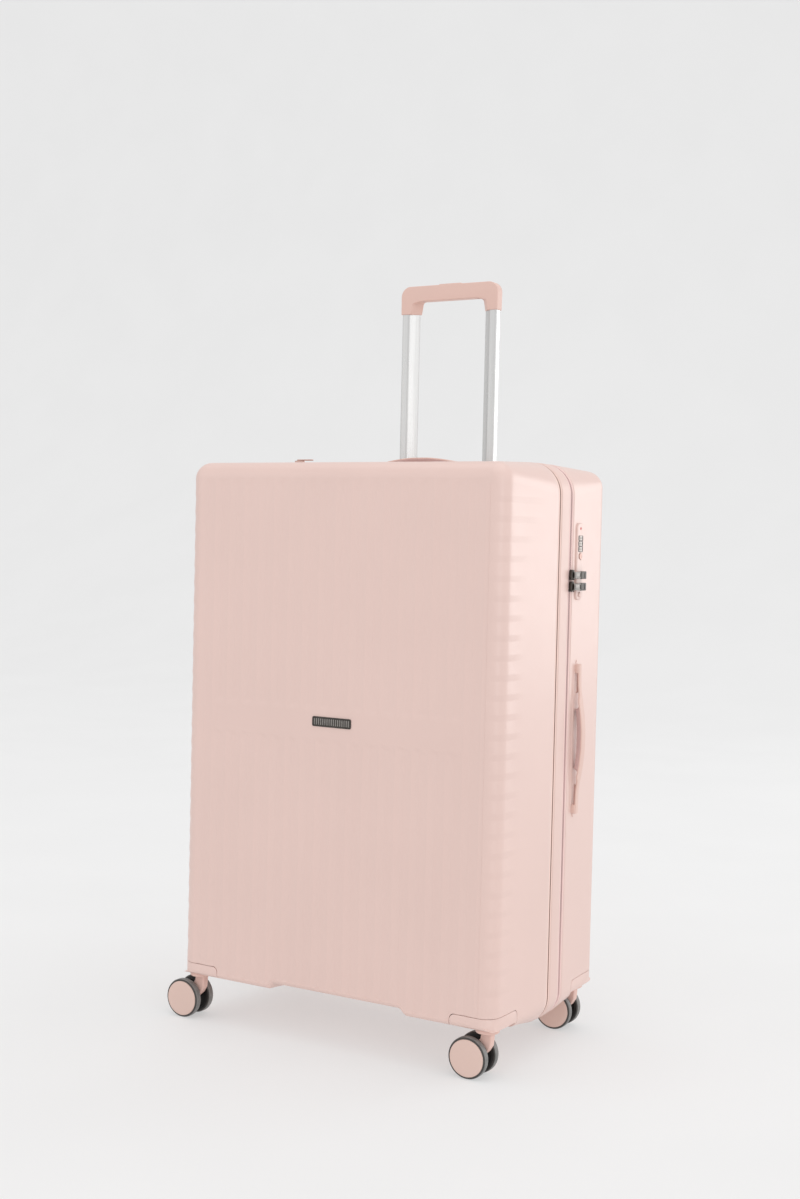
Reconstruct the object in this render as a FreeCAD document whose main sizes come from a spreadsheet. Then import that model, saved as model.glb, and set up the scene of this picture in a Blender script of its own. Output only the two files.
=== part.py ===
import FreeCAD, Part
import os

import Sketcher

from FreeCAD import Placement, Rotation, Vector

# A hard shell suitcase on four twin casters, as an assembly of separate pieces.
# Frame: millimetres, +Z up, +Y towards the back of the case, origin on the floor under the middle.
# "Left" is -X and "right" is +X, as seen from the front.

DIMENSIONS = {
    # the case
    "half_width": (242.5, "half width at the rim"),
    "face_half_width": (238.0, "half width at the front and back faces"),
    "rim_bottom": (36.0, "underside of the belly, at the rim"),
    "rim_top": (760.0, "top of the rim"),
    "face_bottom": (63.0, "lower edge of the front and back faces"),
    "face_top": (754.0, "upper edge of the front and back faces"),
    "face_y": (150.0, "distance of the front and back faces from the middle"),
    "top_round": (42.0, "upper corners of the rim"),
    "foot_round": (38.0, "lower corners of the rim"),
    "edge_round": (20.0, "edges of the front and back faces"),
    "sole_round": (6.0, "lower edge of the front and back faces"),
    "wall": (3.0, "shell wall"),
    # the two zips and the band between them
    "front_open": (-9.0, "open edge of the front shell"),
    "expander": (-4.0, "expansion zip"),
    "band_front": (0.0, "front edge of the rim band"),
    "band_back": (24.0, "back edge of the rim band"),
    "opening": (30.0, "main zip"),
    "back_open": (36.0, "open edge of the back shell"),
    "zip_gap": (0.3, "half the gap between the two halves of a zip"),
    "zip_inset": (0.8, "zip tape below the shell surface"),
    "tape_back": (3.4, "inner side of the zip tape"),
    "zip_join": (0.2, "zip tape to shell edge"),
    "hinge_axis_x": (-245.0, "fold of the hinge tape"),
    # linings, inside the shells
    "lining_outer": (3.4, "outer side of the lining, from the shell surface"),
    "lining_inner": (4.2, "inner side of the lining, from the shell surface"),
    "lining_back": (122.0, "back lining, in front of the telescopic tubes"),
    # corner housings and casters
    "guard_x": (178.0, "inner side of a corner housing"),
    "front_guard_y": (87.0, "inner end of a front corner housing"),
    "rear_guard_y": (69.0, "inner end of a rear corner housing, further in to clear the wheels"),
    "guard_bottom": (62.7, "underside of a corner housing"),
    "guard_top": (78.5, "seam between corner housing and shell"),
    "guard_wall": (4.0, "corner housing wall"),
    "step_wall": (3.0, "upright walls beside the wheel space"),
    "flange": (12.0, "inner flange beyond the housing"),
    "swivel_x": (220.5, "swivel axis"),
    "front_swivel_y": (-128.0, "front swivel axis"),
    "rear_swivel_y": (115.0, "rear swivel axis"),
    "trail": (18.6, "axle behind the swivel axis"),
    "wheel_radius": (26.0, "tyre radius, and axle height"),
    "hub_radius": (23.0, "hub radius"),
    "wheel_inner": (8.0, "inner side of a wheel, from the middle of the caster"),
    "wheel_outer": (20.0, "outer side of a wheel"),
    "fork_half": (6.5, "half thickness of the fork"),
    "fork_top": (62.2, "top of the fork"),
    "kingpin_radius": (3.5, "kingpin"),
    "axle_radius": (2.0, "axle"),
    "fit": (0.05, "radial clearance of a running fit"),
    # telescopic handle
    "tube_mid_y": (131.6, "middle of the tubes"),
    "tube_half_depth": (6.0, "half depth of an inner tube"),
    "tube_outside": (76.0, "outer side of an inner tube"),
    "tube_front_edge": (65.0, "inner edge of a tube, at its front side"),
    "tube_back_edge": (52.0, "inner edge of a tube, at its back side"),
    "tube_wall": (1.3, "tube wall"),
    "tube_play": (0.4, "inner tube to outer tube"),
    "tube_foot": (640.0, "lower end of the inner tubes, pulled out"),
    "tube_head": (996.0, "upper end of the inner tubes"),
    "sleeve_foot": (342.0, "lower end of the outer tubes"),
    "well_floor": (716.0, "floor of the handle well"),
    "grip_half": (77.5, "half length of the grip"),
    "grip_leg": (50.5, "inner side of a grip leg"),
    "grip_foot": (979.0, "lower end of a grip leg"),
    "grip_under": (997.0, "underside of the grip bar"),
    "grip_top": (1018.5, "top of the grip bar"),
    "grip_half_depth": (7.5, "half depth of the grip"),
    "button_top": (1020.0, "top of the release button"),
    # carry handles
    "top_handle_y": (60.0, "top carry handle"),
    "top_handle_z": (758.7, "shell surface under the top carry handle"),
    "top_handle_rise": (11.3, "height of the top carry handle"),
    "side_handle_y": (57.0, "side carry handle"),
    "side_handle_x": (241.7, "shell surface under the side carry handle"),
    "side_handle_z": (402.0, "middle of the side carry handle"),
    "side_handle_rise": (13.8, "height of the side carry handle"),
    "top_handle_end": (5.0, "height of the ends of the top carry handle"),
    "side_handle_end": (6.4, "height of the ends of the side carry handle"),
    "handle_half": (6.5, "half width of a carry handle"),
    "top_handle_thick": (4.1, "thickness of the top carry handle in its middle"),
    "side_handle_thick": (5.5, "thickness of the side carry handle in its middle"),
    # lock
    "lock_y": (54.5, "middle of the lock"),
    "lock_half": (10.0, "half width of the lock"),
    "lock_bottom": (584.0, "lower end of the lock"),
    "lock_top": (684.0, "upper end of the lock"),
    "lock_face": (245.0, "outer face of the lock"),
    "dial_x": (239.2, "dial axis"),
    "dial_z": (650.0, "lowest dial"),
    "dial_pitch": (7.2, "distance between dials"),
    "dial_radius": (7.0, "dial"),
    "key_z": (641.0, "key cylinder"),
    "key_radius": (4.0, "key cylinder"),
    "latch_z": (591.0, "release button"),
    # zip sliders
    "upper_slider_z": (616.5, "upper slider of the main zip"),
    "lower_slider_z": (601.5, "lower slider of the main zip"),
    "pull_axis_x": (249.0, "pivot of a pull tab"),
    "expander_slider_x": (-160.0, "slider of the expansion zip"),
}

FAR = 400
AXIS_TURN = {
    "x": Rotation(Vector(0, 1, 0), 90),
    "y": Rotation(Vector(1, 0, 0), -90),
    "z": Rotation(),
}
PLANE_ROLE = {"xy": "XY_Plane", "xz": "XZ_Plane", "yz": "YZ_Plane"}

os.makedirs("parts", exist_ok=True)
doc = FreeCAD.newDocument("suitcase")
sheet = doc.addObject("Spreadsheet::Sheet", "dims")
for row, (alias, (value, meaning)) in enumerate(DIMENSIONS.items(), start=1):
    sheet.set(f"A{row}", alias)
    sheet.set(f"B{row}", str(value))
    sheet.set(f"C{row}", meaning)
    sheet.setAlias(f"B{row}", alias)
doc.recompute()

nodes = {}


# ---- building blocks ----


def dim(text):
    """An expression in which every word is a cell of the sheet."""
    words = sorted(DIMENSIONS, key=len, reverse=True)
    out = []
    word = ""
    for letter in str(text) + " ":
        if letter.isalpha() or letter == "_":
            word += letter
            continue
        out.append(f"dims.{word}" if word in words else word)
        word = ""
        out.append(letter)
    return "".join(out).strip()


def number(text):
    """The value of such an expression, in millimetres."""
    return float(sheet.evalExpression(dim(text)))


def bind(thing, path, text):
    thing.setExpression(path, dim(text))


def label(thing, name):
    """Makes a finished sub-part of a document object."""
    thing.Label = name
    nodes[name] = thing
    return thing


def place(thing, x=0, y=0, z=0, turn=None):
    """Moves a document object, with its place bound to the sheet."""
    if turn:
        thing.Placement = Placement(Vector(), turn)
    for axis, text in zip("xyz", (x, y, z)):
        bind(thing, f"Placement.Base.{axis}", text)
    return thing


def box(name, x, y, z):
    """A block between (low, high) pairs along X, Y and Z."""
    block = doc.addObject("Part::Box", name)
    for size, axis, (low, high) in zip(("Length", "Width", "Height"), "xyz", (x, y, z)):
        bind(block, size, f"({high}) - ({low})")
        bind(block, f"Placement.Base.{axis}", low)
    return block


def rod(name, axis, radius, start, length):
    """A cylinder along an axis, from its start point."""
    cylinder = doc.addObject("Part::Cylinder", name)
    bind(cylinder, "Radius", radius)
    bind(cylinder, "Height", length)
    return place(cylinder, *start, turn=AXIS_TURN[axis])


def cut(name, base, *tools):
    """The base without each of the tools."""
    for count, tool in enumerate(tools):
        last = count == len(tools) - 1
        result = doc.addObject("Part::Cut", name if last else f"{name}_less_{count}")
        result.Base = base
        result.Tool = tool
        base = result
    return base


def fuse(name, *pieces):
    result = doc.addObject("Part::MultiFuse", name)
    result.Shapes = list(pieces)
    result.Refine = True
    return result


def common(name, *pieces):
    result = doc.addObject("Part::MultiCommon", name)
    result.Shapes = list(pieces)
    return result


def mirrored(name, source, normal=(1, 0, 0), base=(0, 0, 0)):
    """The mirror image of a piece, in a plane bound to the sheet."""
    copy = doc.addObject("Part::Mirroring", name)
    copy.Source = source
    copy.Normal = Vector(*normal)
    for axis, text in zip("xyz", base):
        bind(copy, f"Base.{axis}", text)
    return copy


def group(name, *pieces):
    """Separate solids that share one node."""
    result = doc.addObject("Part::Compound", name)
    result.Links = list(pieces)
    return result


def drawn_plane(sketch, body, plane, level):
    origin = next(f for f in body.Origin.OriginFeatures if f.Role == PLANE_ROLE[plane])
    sketch.AttachmentSupport = [(origin, "")]
    sketch.MapMode = "FlatFace"
    bind(sketch, "AttachmentOffset.Base.z", level)


def draw_polygon(sketch, corners):
    """A closed polygon, each corner held by two dimensions bound to the sheet."""
    points = [Vector(number(x), number(y), 0) for x, y in corners]
    count = len(points)
    for k in range(count):
        sketch.addGeometry(Part.LineSegment(points[k], points[(k + 1) % count]))
    for k in range(count):
        link = Sketcher.Constraint("Coincident", k, 2, (k + 1) % count, 1)
        sketch.addConstraint(link)
    for k, (x, y) in enumerate(corners):
        for kind, text in (("DistanceX", x), ("DistanceY", y)):
            held = sketch.addConstraint(Sketcher.Constraint(kind, k, 1, number(text)))
            bind(sketch, f"Constraints[{held}]", text)


def across(point, plane):
    """A point's two coordinates within a plane."""
    return {"xy": (point.x, point.y), "xz": (point.x, point.z), "yz": (point.y, point.z)}[plane]


def edges_at(shape, plane, corner):
    """Names of the edges that stand on one corner of the drawn polygon."""
    found = []
    for count, edge in enumerate(shape.Edges, start=1):
        ends = [across(vertex.Point, plane) for vertex in edge.Vertexes]
        if len(ends) == 2 and all(
            abs(a - corner[0]) < 1e-4 and abs(b - corner[1]) < 1e-4 for a, b in ends
        ):
            found.append(f"Edge{count}")
    return found


def prism(name, plane, corners, low, high, rounds=()):
    """A polygon drawn on an origin plane, padded from low to high along the axis across it.

    rounds holds (corner numbers, radius), and those corners are filleted.
    """
    body = doc.addObject("PartDesign::Body", name)
    sketch = body.newObject("Sketcher::SketchObject", f"{name}_outline")
    drawn_plane(sketch, body, plane, f"-({high})" if plane == "xz" else low)
    draw_polygon(sketch, corners)
    pad = body.newObject("PartDesign::Pad", f"{name}_pad")
    pad.Profile = sketch
    bind(pad, "Length", f"({high}) - ({low})")
    doc.recompute()
    feature = pad
    for count, (picked, radius) in enumerate(rounds):
        names = []
        for k in picked:
            at = (number(corners[k][0]), number(corners[k][1]))
            names += edges_at(feature.Shape, plane, at)
        fillet = body.newObject("PartDesign::Fillet", f"{name}_round_{count}")
        fillet.Base = (feature, names)
        bind(fillet, "Radius", radius)
        doc.recompute()
        feature = fillet
    return body


def turned(name, profile):
    """A (radius, y) profile revolved about the body's own Y axis."""
    body = doc.addObject("PartDesign::Body", name)
    sketch = body.newObject("Sketcher::SketchObject", f"{name}_profile")
    drawn_plane(sketch, body, "xy", 0)
    draw_polygon(sketch, profile)
    spin = body.newObject("PartDesign::Revolution", f"{name}_turn")
    spin.Profile = sketch
    spin.ReferenceAxis = (sketch, ["V_Axis"])
    spin.Angle = 360
    doc.recompute()
    return body


# ---- the outer form of the case ----


def rim_prism(name, inset, low, high):
    """The rim's outline, inset from the surface, between two places along Y."""
    side = f"half_width - ({inset})"
    bottom = f"rim_bottom + ({inset})"
    top = f"rim_top - ({inset})"
    corners = ((f"-({side})", bottom), (side, bottom), (side, top), (f"-({side})", top))
    rounds = (((0, 1), f"foot_round - ({inset})"), ((2, 3), f"top_round - ({inset})"))
    return prism(name, "xz", corners, low, high, rounds)


def rim_ring(name, outer, inner, low, high):
    """A closed frame that follows the rim."""
    whole = rim_prism(f"{name}_outer", outer, low, high)
    hollow = rim_prism(f"{name}_inner", inner, f"({low}) - 1", f"({high}) + 1")
    return cut(name, whole, hollow)


def half_case(name, side, inset):
    """One half of the case as a solid, inset from its outer surface. side is -1, front, or +1, back.

    It is what three prisms share: the plan with its draft, the profile with the sloping belly,
    and the rim's outline.
    """
    mouth = "front_open" if side < 0 else "back_open"
    face = f"{side} * (face_y - ({inset}))"
    wide = f"half_width - ({inset})"
    narrow = f"face_half_width - ({inset})"
    plan = prism(
        f"{name}_plan",
        "xy",
        ((f"-({wide})", mouth), (f"-({narrow})", face), (narrow, face), (wide, mouth)),
        0,
        800,
        (((1, 2), f"edge_round - ({inset})"),),
    )
    profile = prism(
        f"{name}_profile",
        "yz",
        (
            (mouth, f"rim_bottom + ({inset})"),
            (face, f"face_bottom + ({inset})"),
            (face, f"face_top - ({inset})"),
            (mouth, f"rim_top - ({inset})"),
        ),
        -260,
        260,
        (((1,), f"sole_round - 0.5 * ({inset})"), ((2,), f"edge_round - ({inset})")),
    )
    low, high = (-160, mouth) if side < 0 else (mouth, 160)
    return common(name, plan, profile, rim_prism(f"{name}_front", inset, low, high))


def both_sides(name, low, high, y, z):
    """Two blocks, mirror images at left and right."""
    right = box(f"{name}_right", (low, high), y, z)
    left = box(f"{name}_left", (f"-({high})", f"-({low})"), y, z)
    return fuse(name, right, left)


def outwards(side, near, far):
    """A (low, high) pair along Y, from near to far on one side of the middle."""
    return (near, far) if side > 0 else (f"-({far})", f"-({near})")


def half_names(side):
    return "front" if side < 0 else "back"


def guard_end(side):
    """The sheet's word for the inner end of the corner housings on one side."""
    return "front_guard_y" if side < 0 else "rear_guard_y"


def shell(side):
    """A drawn shell: its wall, less the corners that the wheel housings close."""
    name = half_names(side)
    outer = half_case(f"{name}_shell_outer", side, 0)
    inner = half_case(f"{name}_shell_inner", side, "wall")
    reach = outwards(side, guard_end(side), 200)
    corners = both_sides(f"{name}_shell_corners", "guard_x", 300, reach, (0, "guard_top"))
    return [outer, inner, corners]


# ---- carry handles ----


def carry_handle(name, rise, end, thick):
    """A bowed handle bar with two legs and feet, lying along its own X, rising along its own Z."""
    right = (
        (12, rise),
        (30, f"{rise} - 2"),
        (52, f"{rise} - 6"),
        (70, end),
        (98, f"{end} - 0.4"),
        (98, -21.5),
        (104, -21.5),
        (104, -25),
        (86, -25),
        (86, f"{end} - 3"),
        (66, f"{end} - 3.2"),
        (52, f"{rise} - 4.7 - {thick}"),
        (30, f"{rise} - 1.5 - {thick}"),
        (12, f"{rise} - {thick}"),
    )
    left = tuple((f"-({x})", z) for x, z in reversed(right))
    return prism(name, "xz", right + left, "-handle_half", "handle_half")


def handle_mount(name, centre):
    """A collar around one leg of a carry handle."""
    outline = ((centre - 14, -10), (centre + 14, -10), (centre + 14, 10), (centre - 14, 10))
    collar = prism(f"{name}_collar", "xy", outline, 0, 1.6, (((0, 1, 2, 3), 6),))
    across_leg = ("-handle_half - 0.4", "handle_half + 0.4")
    slot = box(f"{name}_slot", (centre - 6.4, centre + 6.4), across_leg, (-1, 4))
    return cut(name, collar, slot)


def handle_cutters(name, legs, across_leg, depth):
    """Blocks that clear both legs of a carry handle, in the handle's own frame."""
    low, high = legs
    sideways = (f"-({across_leg})", across_leg)
    right = box(f"{name}_right", (low, high), sideways, depth)
    left = box(f"{name}_left", (-high, -low), sideways, depth)
    return fuse(name, right, left)


def put_top(thing):
    return place(thing, 0, "top_handle_y", "top_handle_z")


def put_side(thing):
    return place(thing, "side_handle_x", "side_handle_y", "side_handle_z", AXIS_TURN["x"])


def carry_handles():
    """Both handles, and their four equal mounts in one node."""
    mounts = []
    for where, put in (("top", put_top), ("side", put_side)):
        sizes = [f"{where}_handle_{size}" for size in ("rise", "end", "thick")]
        bar = carry_handle(f"{where}_handle", *sizes)
        label(put(bar), f"{where}_handle_bar")
        for end, centre in (("low", -92), ("high", 92)):
            mounts.append(put(handle_mount(f"{where}_mount_{end}", centre)))
    label(group("handle_mounts", *mounts), "carry_handle_mounts")


# ---- lock ----


def lock_prism(name, grow, low, high):
    """The lock's outline, grown outwards, between two places along X."""
    y0, y1 = f"lock_y - lock_half - ({grow})", f"lock_y + lock_half + ({grow})"
    z0, z1 = f"lock_bottom - ({grow})", f"lock_top + ({grow})"
    corners = ((y0, z0), (y1, z0), (y1, z1), (y0, z1))
    return prism(name, "yz", corners, low, high, (((0, 1, 2, 3), "lock_half - 0.5"),))


def lock():
    """The lock body with its dial spindle, three dials, a key cylinder and a release button."""
    tools = []
    for k in range(3):
        low = f"dial_z + {k} * dial_pitch - 3.1"
        tools.append(rod(f"dial_space_{k}", "z", "dial_radius + 0.35", ("dial_x", "lock_y", low), 6.2))
    tools.append(
        rod("key_space", "x", "key_radius + fit", ("lock_face - 13", "lock_y", "key_z"), 20)
    )
    tools.append(
        box(
            "latch_space",
            ("lock_face - 13", 260),
            ("lock_y - 3.8", "lock_y + 3.8"),
            ("latch_z - 3.8", "latch_z + 3.8"),
        )
    )
    block = cut("lock_block", lock_prism("lock_outline", 0, 227, "lock_face"), *tools)
    spindle = rod("dial_spindle", "z", 1.5, ("dial_x", "lock_y", "dial_z - 5"), 25)
    label(fuse("lock", block, spindle), "lock_body")
    for k in range(3):
        at = ("dial_x", "lock_y", f"dial_z + {k} * dial_pitch - 2.9")
        disc = rod(f"dial_disc_{k}", "z", "dial_radius", at, 5.8)
        bore = rod(f"dial_bore_{k}", "z", "1.5 + fit", at, 5.8)
        label(cut(f"dial_{k}", disc, bore), f"lock_dial_{k + 1}")
    plug = rod("key_plug", "x", "key_radius", ("lock_face - 12", "lock_y", "key_z"), 12.6)
    slot = box(
        "key_slot",
        ("lock_face - 5", 260),
        ("lock_y - 0.5", "lock_y + 0.5"),
        ("key_z - 2.5", "key_z + 2.5"),
    )
    label(cut("key", plug, slot), "key_cylinder")
    latch = prism(
        "latch",
        "yz",
        (
            ("lock_y - 3.5", "latch_z - 3.5"),
            ("lock_y + 3.5", "latch_z - 3.5"),
            ("lock_y + 3.5", "latch_z + 3.5"),
            ("lock_y - 3.5", "latch_z + 3.5"),
        ),
        "lock_face - 9",
        "lock_face + 1.4",
        (((0, 1, 2, 3), 1),),
    )
    label(latch, "lock_release_button")


# ---- telescopic handle ----

SLANT_NEAR, SLANT_FAR = 0.391, 2.558  # how the slanted side's two ends move as a section grows


def tube_solid(name, grow, low, high, corner=1.5):
    """The right tube's section, grown outwards, from low to high."""
    front = f"tube_mid_y - tube_half_depth - ({grow})"
    back = f"tube_mid_y + tube_half_depth + ({grow})"
    corners = (
        (f"tube_front_edge - {SLANT_NEAR} * ({grow})", front),
        (f"tube_outside + ({grow})", front),
        (f"tube_outside + ({grow})", back),
        (f"tube_back_edge - {SLANT_FAR} * ({grow})", back),
    )
    return prism(name, "xy", corners, low, high, (((0, 1, 2, 3), corner),))


def pair(name, right):
    """A right-hand piece and its mirror image, in one node."""
    return group(name, right, mirrored(f"{name}_left", right))


def telescopic_tubes():
    inner = cut(
        "inner_tube",
        tube_solid("inner_tube_outside", 0, "tube_foot", "tube_head"),
        tube_solid("inner_tube_bore", "-tube_wall", "tube_foot - 1", "tube_head + 1", 0.6),
    )
    label(pair("inner_tubes", inner), "trolley_inner_tubes")
    outer = cut(
        "outer_tube",
        tube_solid("outer_tube_outside", "tube_play + 1.2", "sleeve_foot", "well_floor - 2", 2.5),
        tube_solid("outer_tube_bore", "tube_play", "sleeve_foot - 1", "well_floor", 1.7),
    )
    label(pair("outer_tubes", outer), "trolley_outer_tubes")
    block = tube_solid("lock_block_right", "-tube_wall", "tube_foot + 0.5", "tube_foot + 16", 0.6)
    label(pair("lock_blocks", block), "trolley_lock_blocks")


def telescopic_grip():
    """The grip, its button, and the yoke whose rods run down the tubes."""
    x0, x1 = "-grip_half", "grip_half"
    grip_y = ("tube_mid_y - grip_half_depth", "tube_mid_y + grip_half_depth")
    bar = prism(
        "grip_bar",
        "xz",
        (
            (x0, "grip_foot"),
            ("-grip_leg", "grip_foot"),
            ("-grip_leg", "grip_under"),
            ("grip_leg", "grip_under"),
            ("grip_leg", "grip_foot"),
            (x1, "grip_foot"),
            (x1, "grip_top"),
            (x0, "grip_top"),
        ),
        *grip_y,
        (((6, 7), 14), ((2, 3), 3)),
    )
    socket = tube_solid("grip_socket", 0, "grip_foot - 1", "tube_head")
    rod_at = ("0.5 * (tube_front_edge + tube_outside)", "tube_mid_y", "grip_foot")
    passage = rod("grip_passage", "z", 2.6, rod_at, 25)
    channel = box(
        "grip_channel",
        (-74, 74),
        ("tube_mid_y - 4", "tube_mid_y + 4"),
        ("grip_top - 20", "grip_top - 10.5"),
    )
    pocket = box(
        "button_pocket",
        (-18.4, 18.4),
        ("tube_mid_y - 5.4", "tube_mid_y + 5.4"),
        ("grip_top - 15", "grip_top + 5"),
    )
    tools = (socket, mirrored("grip_socket_left", socket), passage)
    tools += (mirrored("grip_passage_left", passage), channel, pocket)
    label(cut("grip", bar, *tools), "trolley_grip")
    button_y = ("tube_mid_y - 5", "tube_mid_y + 5")
    button = prism(
        "button",
        "xy",
        ((-18, button_y[0]), (18, button_y[0]), (18, button_y[1]), (-18, button_y[1])),
        "grip_top - 12",
        "button_top",
        (((0, 1, 2, 3), 1.5),),
    )
    label(button, "trolley_button")
    beam = box(
        "yoke_beam",
        (-73, 73),
        ("tube_mid_y - 3", "tube_mid_y + 3"),
        ("grip_top - 16", "grip_top - 12"),
    )
    right_rod = rod(
        "yoke_rod",
        "z",
        2,
        ("0.5 * (tube_front_edge + tube_outside)", "tube_mid_y", "tube_foot + 20"),
        "grip_top - 14 - tube_foot - 20",
    )
    label(fuse("yoke", beam, right_rod, mirrored("yoke_rod_left", right_rod)), "trolley_release_yoke")


def handle_well():
    """The bezel: a cup in the top of the back shell, with a rim that lies on the shell."""
    around = half_case("bezel_form", 1, -1.2)
    surface = half_case("bezel_seat", 1, 0)
    well_y = ("tube_mid_y - grip_half_depth - 1", "tube_mid_y + grip_half_depth + 1")
    outside = box(
        "cup_outside",
        (-83, 83),
        (f"{well_y[0]} - 2", f"{well_y[1]} + 2"),
        ("well_floor - 2", 800),
    )
    brim = box("brim_extent", (-88, 88), (117, 160), (738, 800))
    inside = box("cup_inside", (-81, 81), well_y, ("well_floor", 800))
    ring = cut("brim", common("brim_block", around, brim), surface)
    whole = fuse("bezel_whole", ring, common("cup", around, outside))
    hole = tube_solid("bezel_hole", "tube_play", "well_floor - 5", "well_floor + 5", 1.7)
    label(
        cut("bezel", whole, inside, hole, mirrored("bezel_hole_left", hole)), "trolley_bezel"
    )
    plate = box("foot_plate", (-84, 84), (122.5, 146.9), ("sleeve_foot - 6", "sleeve_foot"))
    ear = box("foot_ear", (-84, 84), (144.9, 146.9), ("sleeve_foot - 24", "sleeve_foot"))
    label(fuse("foot_bracket", plate, ear), "trolley_foot_bracket")
    return outside


# ---- zips ----


def zips():
    """The rim band, four zip halves, the folded gusset and the hinge tape."""
    label(rim_ring("band", 0, "wall", "band_front", "band_back"), "rim_band")
    tape = ("zip_inset", "tape_back")
    spans = {
        "expansion_zip_front": ("front_open + zip_join", "expander - zip_gap"),
        "expansion_zip_rear": ("expander + zip_gap", "band_front - zip_join"),
        "main_zip_front": ("band_back + zip_join", "opening - zip_gap"),
        "main_zip_rear": ("opening + zip_gap", "back_open - zip_join"),
    }
    for name, (low, high) in spans.items():
        label(rim_ring(f"{name}_ring", *tape, low, high), name)
    gusset = rim_ring("gusset", "tape_back + 0.3", "tape_back + 1.5", "front_open + zip_join", 6)
    label(gusset, "expansion_gusset")
    hinge = box("hinge", (-237.4, -236.4), (15, 47), (130, 670))
    label(hinge, "hinge_tape")


def main_slider(name, level):
    """A slider body with a bridge, and the pull tab that hangs on the bridge."""
    y0, y1 = "opening - 5", "opening + 5"
    body = prism(
        f"{name}_slider_body",
        "yz",
        ((y0, f"{level} - 7"), (y1, f"{level} - 7"), (y1, f"{level} + 7"), (y0, f"{level} + 7")),
        242.8,
        "pull_axis_x - 2",
        (((0, 1, 2, 3), 3),),
    )
    posts = []
    for end, low in (("low", -5.5), ("high", 4)):
        posts.append(
            box(
                f"{name}_post_{end}",
                ("pull_axis_x - 2", "pull_axis_x + 1"),
                ("opening - 1", "opening + 1"),
                (f"{level} + {low}", f"{level} + {low} + 1.5"),
            )
        )
    bridge = rod(f"{name}_bridge", "z", 0.8, ("pull_axis_x", "opening", f"{level} - 4.5"), 9)
    label(fuse(f"{name}_slider_piece", body, *posts, bridge), f"{name}_slider")
    at = ("pull_axis_x", "opening", f"{level} - 3.6")
    eye = rod(f"{name}_eye", "z", 1.7, at, 7.2)
    link = box(
        f"{name}_link",
        ("pull_axis_x - 0.9", "pull_axis_x + 0.9"),
        ("opening + 0.5", "opening + 26"),
        (f"{level} - 3.4", f"{level} + 3.4"),
    )
    end = box(
        f"{name}_end",
        ("pull_axis_x - 1.5", "pull_axis_x + 1.5"),
        ("opening + 20", "opening + 33"),
        (f"{level} - 4.4", f"{level} + 4.4"),
    )
    hole = rod(f"{name}_hole", "z", "0.8 + 2 * fit", at, 7.2)
    label(cut(f"{name}_pull_piece", fuse(f"{name}_tab", eye, link, end), hole), f"{name}_pull_tab")


def expansion_slider():
    """The slider of the expansion zip, on top of the case, with its short fixed pull."""
    x, y = "expander_slider_x", "expander"
    body = box(
        "expansion_body",
        (f"{x} - 7", f"{x} + 7"),
        (f"{y} - 4.5", f"{y} + 4.5"),
        ("rim_top + 0.4", "rim_top + 4"),
    )
    neck = box(
        "expansion_neck",
        (f"{x} - 2", f"{x} + 2"),
        (f"{y} - 2", f"{y} + 2"),
        ("rim_top + 3", "rim_top + 6"),
    )
    tab = box(
        "expansion_tab",
        (f"{x} - 4", f"{x} + 22"),
        (f"{y} - 3", f"{y} + 3"),
        ("rim_top + 5", "rim_top + 6.8"),
    )
    label(fuse("expansion_piece", body, neck, tab), "expansion_slider")


# ---- casters ----


def housing(side):
    """Two mirrored corner housings in one node: tray, skirt, step walls, flange and bearing boss."""
    name = half_names(side)
    swivel_y = "front_swivel_y" if side < 0 else "rear_swivel_y"
    form = half_case(f"{name}_guard_form", side, 0)
    hollow = half_case(f"{name}_guard_hollow", side, "guard_wall")
    seat = half_case(f"{name}_flange_outer", side, "wall + 0.05")
    under = half_case(f"{name}_flange_inner", side, "wall + 2.05")
    end = guard_end(side)
    corner = box(
        f"{name}_guard_corner",
        ("guard_x", 300),
        outwards(side, end, 200),
        (0, "guard_top"),
    )
    above = box(
        f"{name}_guard_above",
        (150, 300),
        outwards(side, 40, 200),
        ("guard_bottom + guard_wall", 200),
    )
    reach = box(
        f"{name}_flange_extent",
        ("guard_x - flange", 300),
        outwards(side, f"{end} - flange", 200),
        (0, "guard_top + 9"),
    )
    void = common(f"{name}_void", hollow, above)
    tray = cut(f"{name}_tray", common(f"{name}_block", form, corner), void)
    flange = cut(f"{name}_flange_ring", common(f"{name}_flange_block", seat, reach), under)
    boss = rod(f"{name}_boss", "z", 14, ("swivel_x", swivel_y, "guard_bottom"), 26)
    wheel_space = box(
        f"{name}_wheel_space",
        ("guard_x + step_wall", 300),
        outwards(side, f"{end} + step_wall", 200),
        (0, "guard_bottom"),
    )
    race_space = rod(f"{name}_race_space", "z", 11, ("swivel_x", swivel_y, "guard_bottom - 1"), 6)
    pin_bore = rod(f"{name}_pin_bore", "z", "kingpin_radius", ("swivel_x", swivel_y, "guard_bottom"), 30)
    whole = fuse(f"{name}_housing_whole", tray, flange, boss)
    right = cut(f"{name}_housing", whole, wheel_space, race_space, pin_bore)
    rear = "front" if side < 0 else "rear"
    label(pair(f"{name}_housings", right), f"{rear}_wheel_housings")
    pin = rod(f"{name}_kingpin", "z", "kingpin_radius", ("swivel_x", swivel_y, 47), 40)
    label(pair(f"{name}_kingpins", pin), f"{rear}_kingpins")
    race_at = ("swivel_x", swivel_y, "guard_bottom - 0.2")
    race = cut(
        f"{name}_race",
        rod(f"{name}_race_disc", "z", 10.9, race_at, 5.1),
        rod(f"{name}_race_bore", "z", "kingpin_radius", race_at, 5.1),
    )
    label(pair(f"{name}_races", race), f"{rear}_swivel_bearings")


def screw(name, x, y, z):
    """A pan head screw that points down."""
    shank = rod(f"{name}_shank", "z", 1.8, (x, y, f"({z}) + 1"), 5)
    head = rod(f"{name}_head", "z", 3.6, (x, y, f"({z}) + 5"), 2.6)
    return fuse(name, shank, head)


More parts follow.
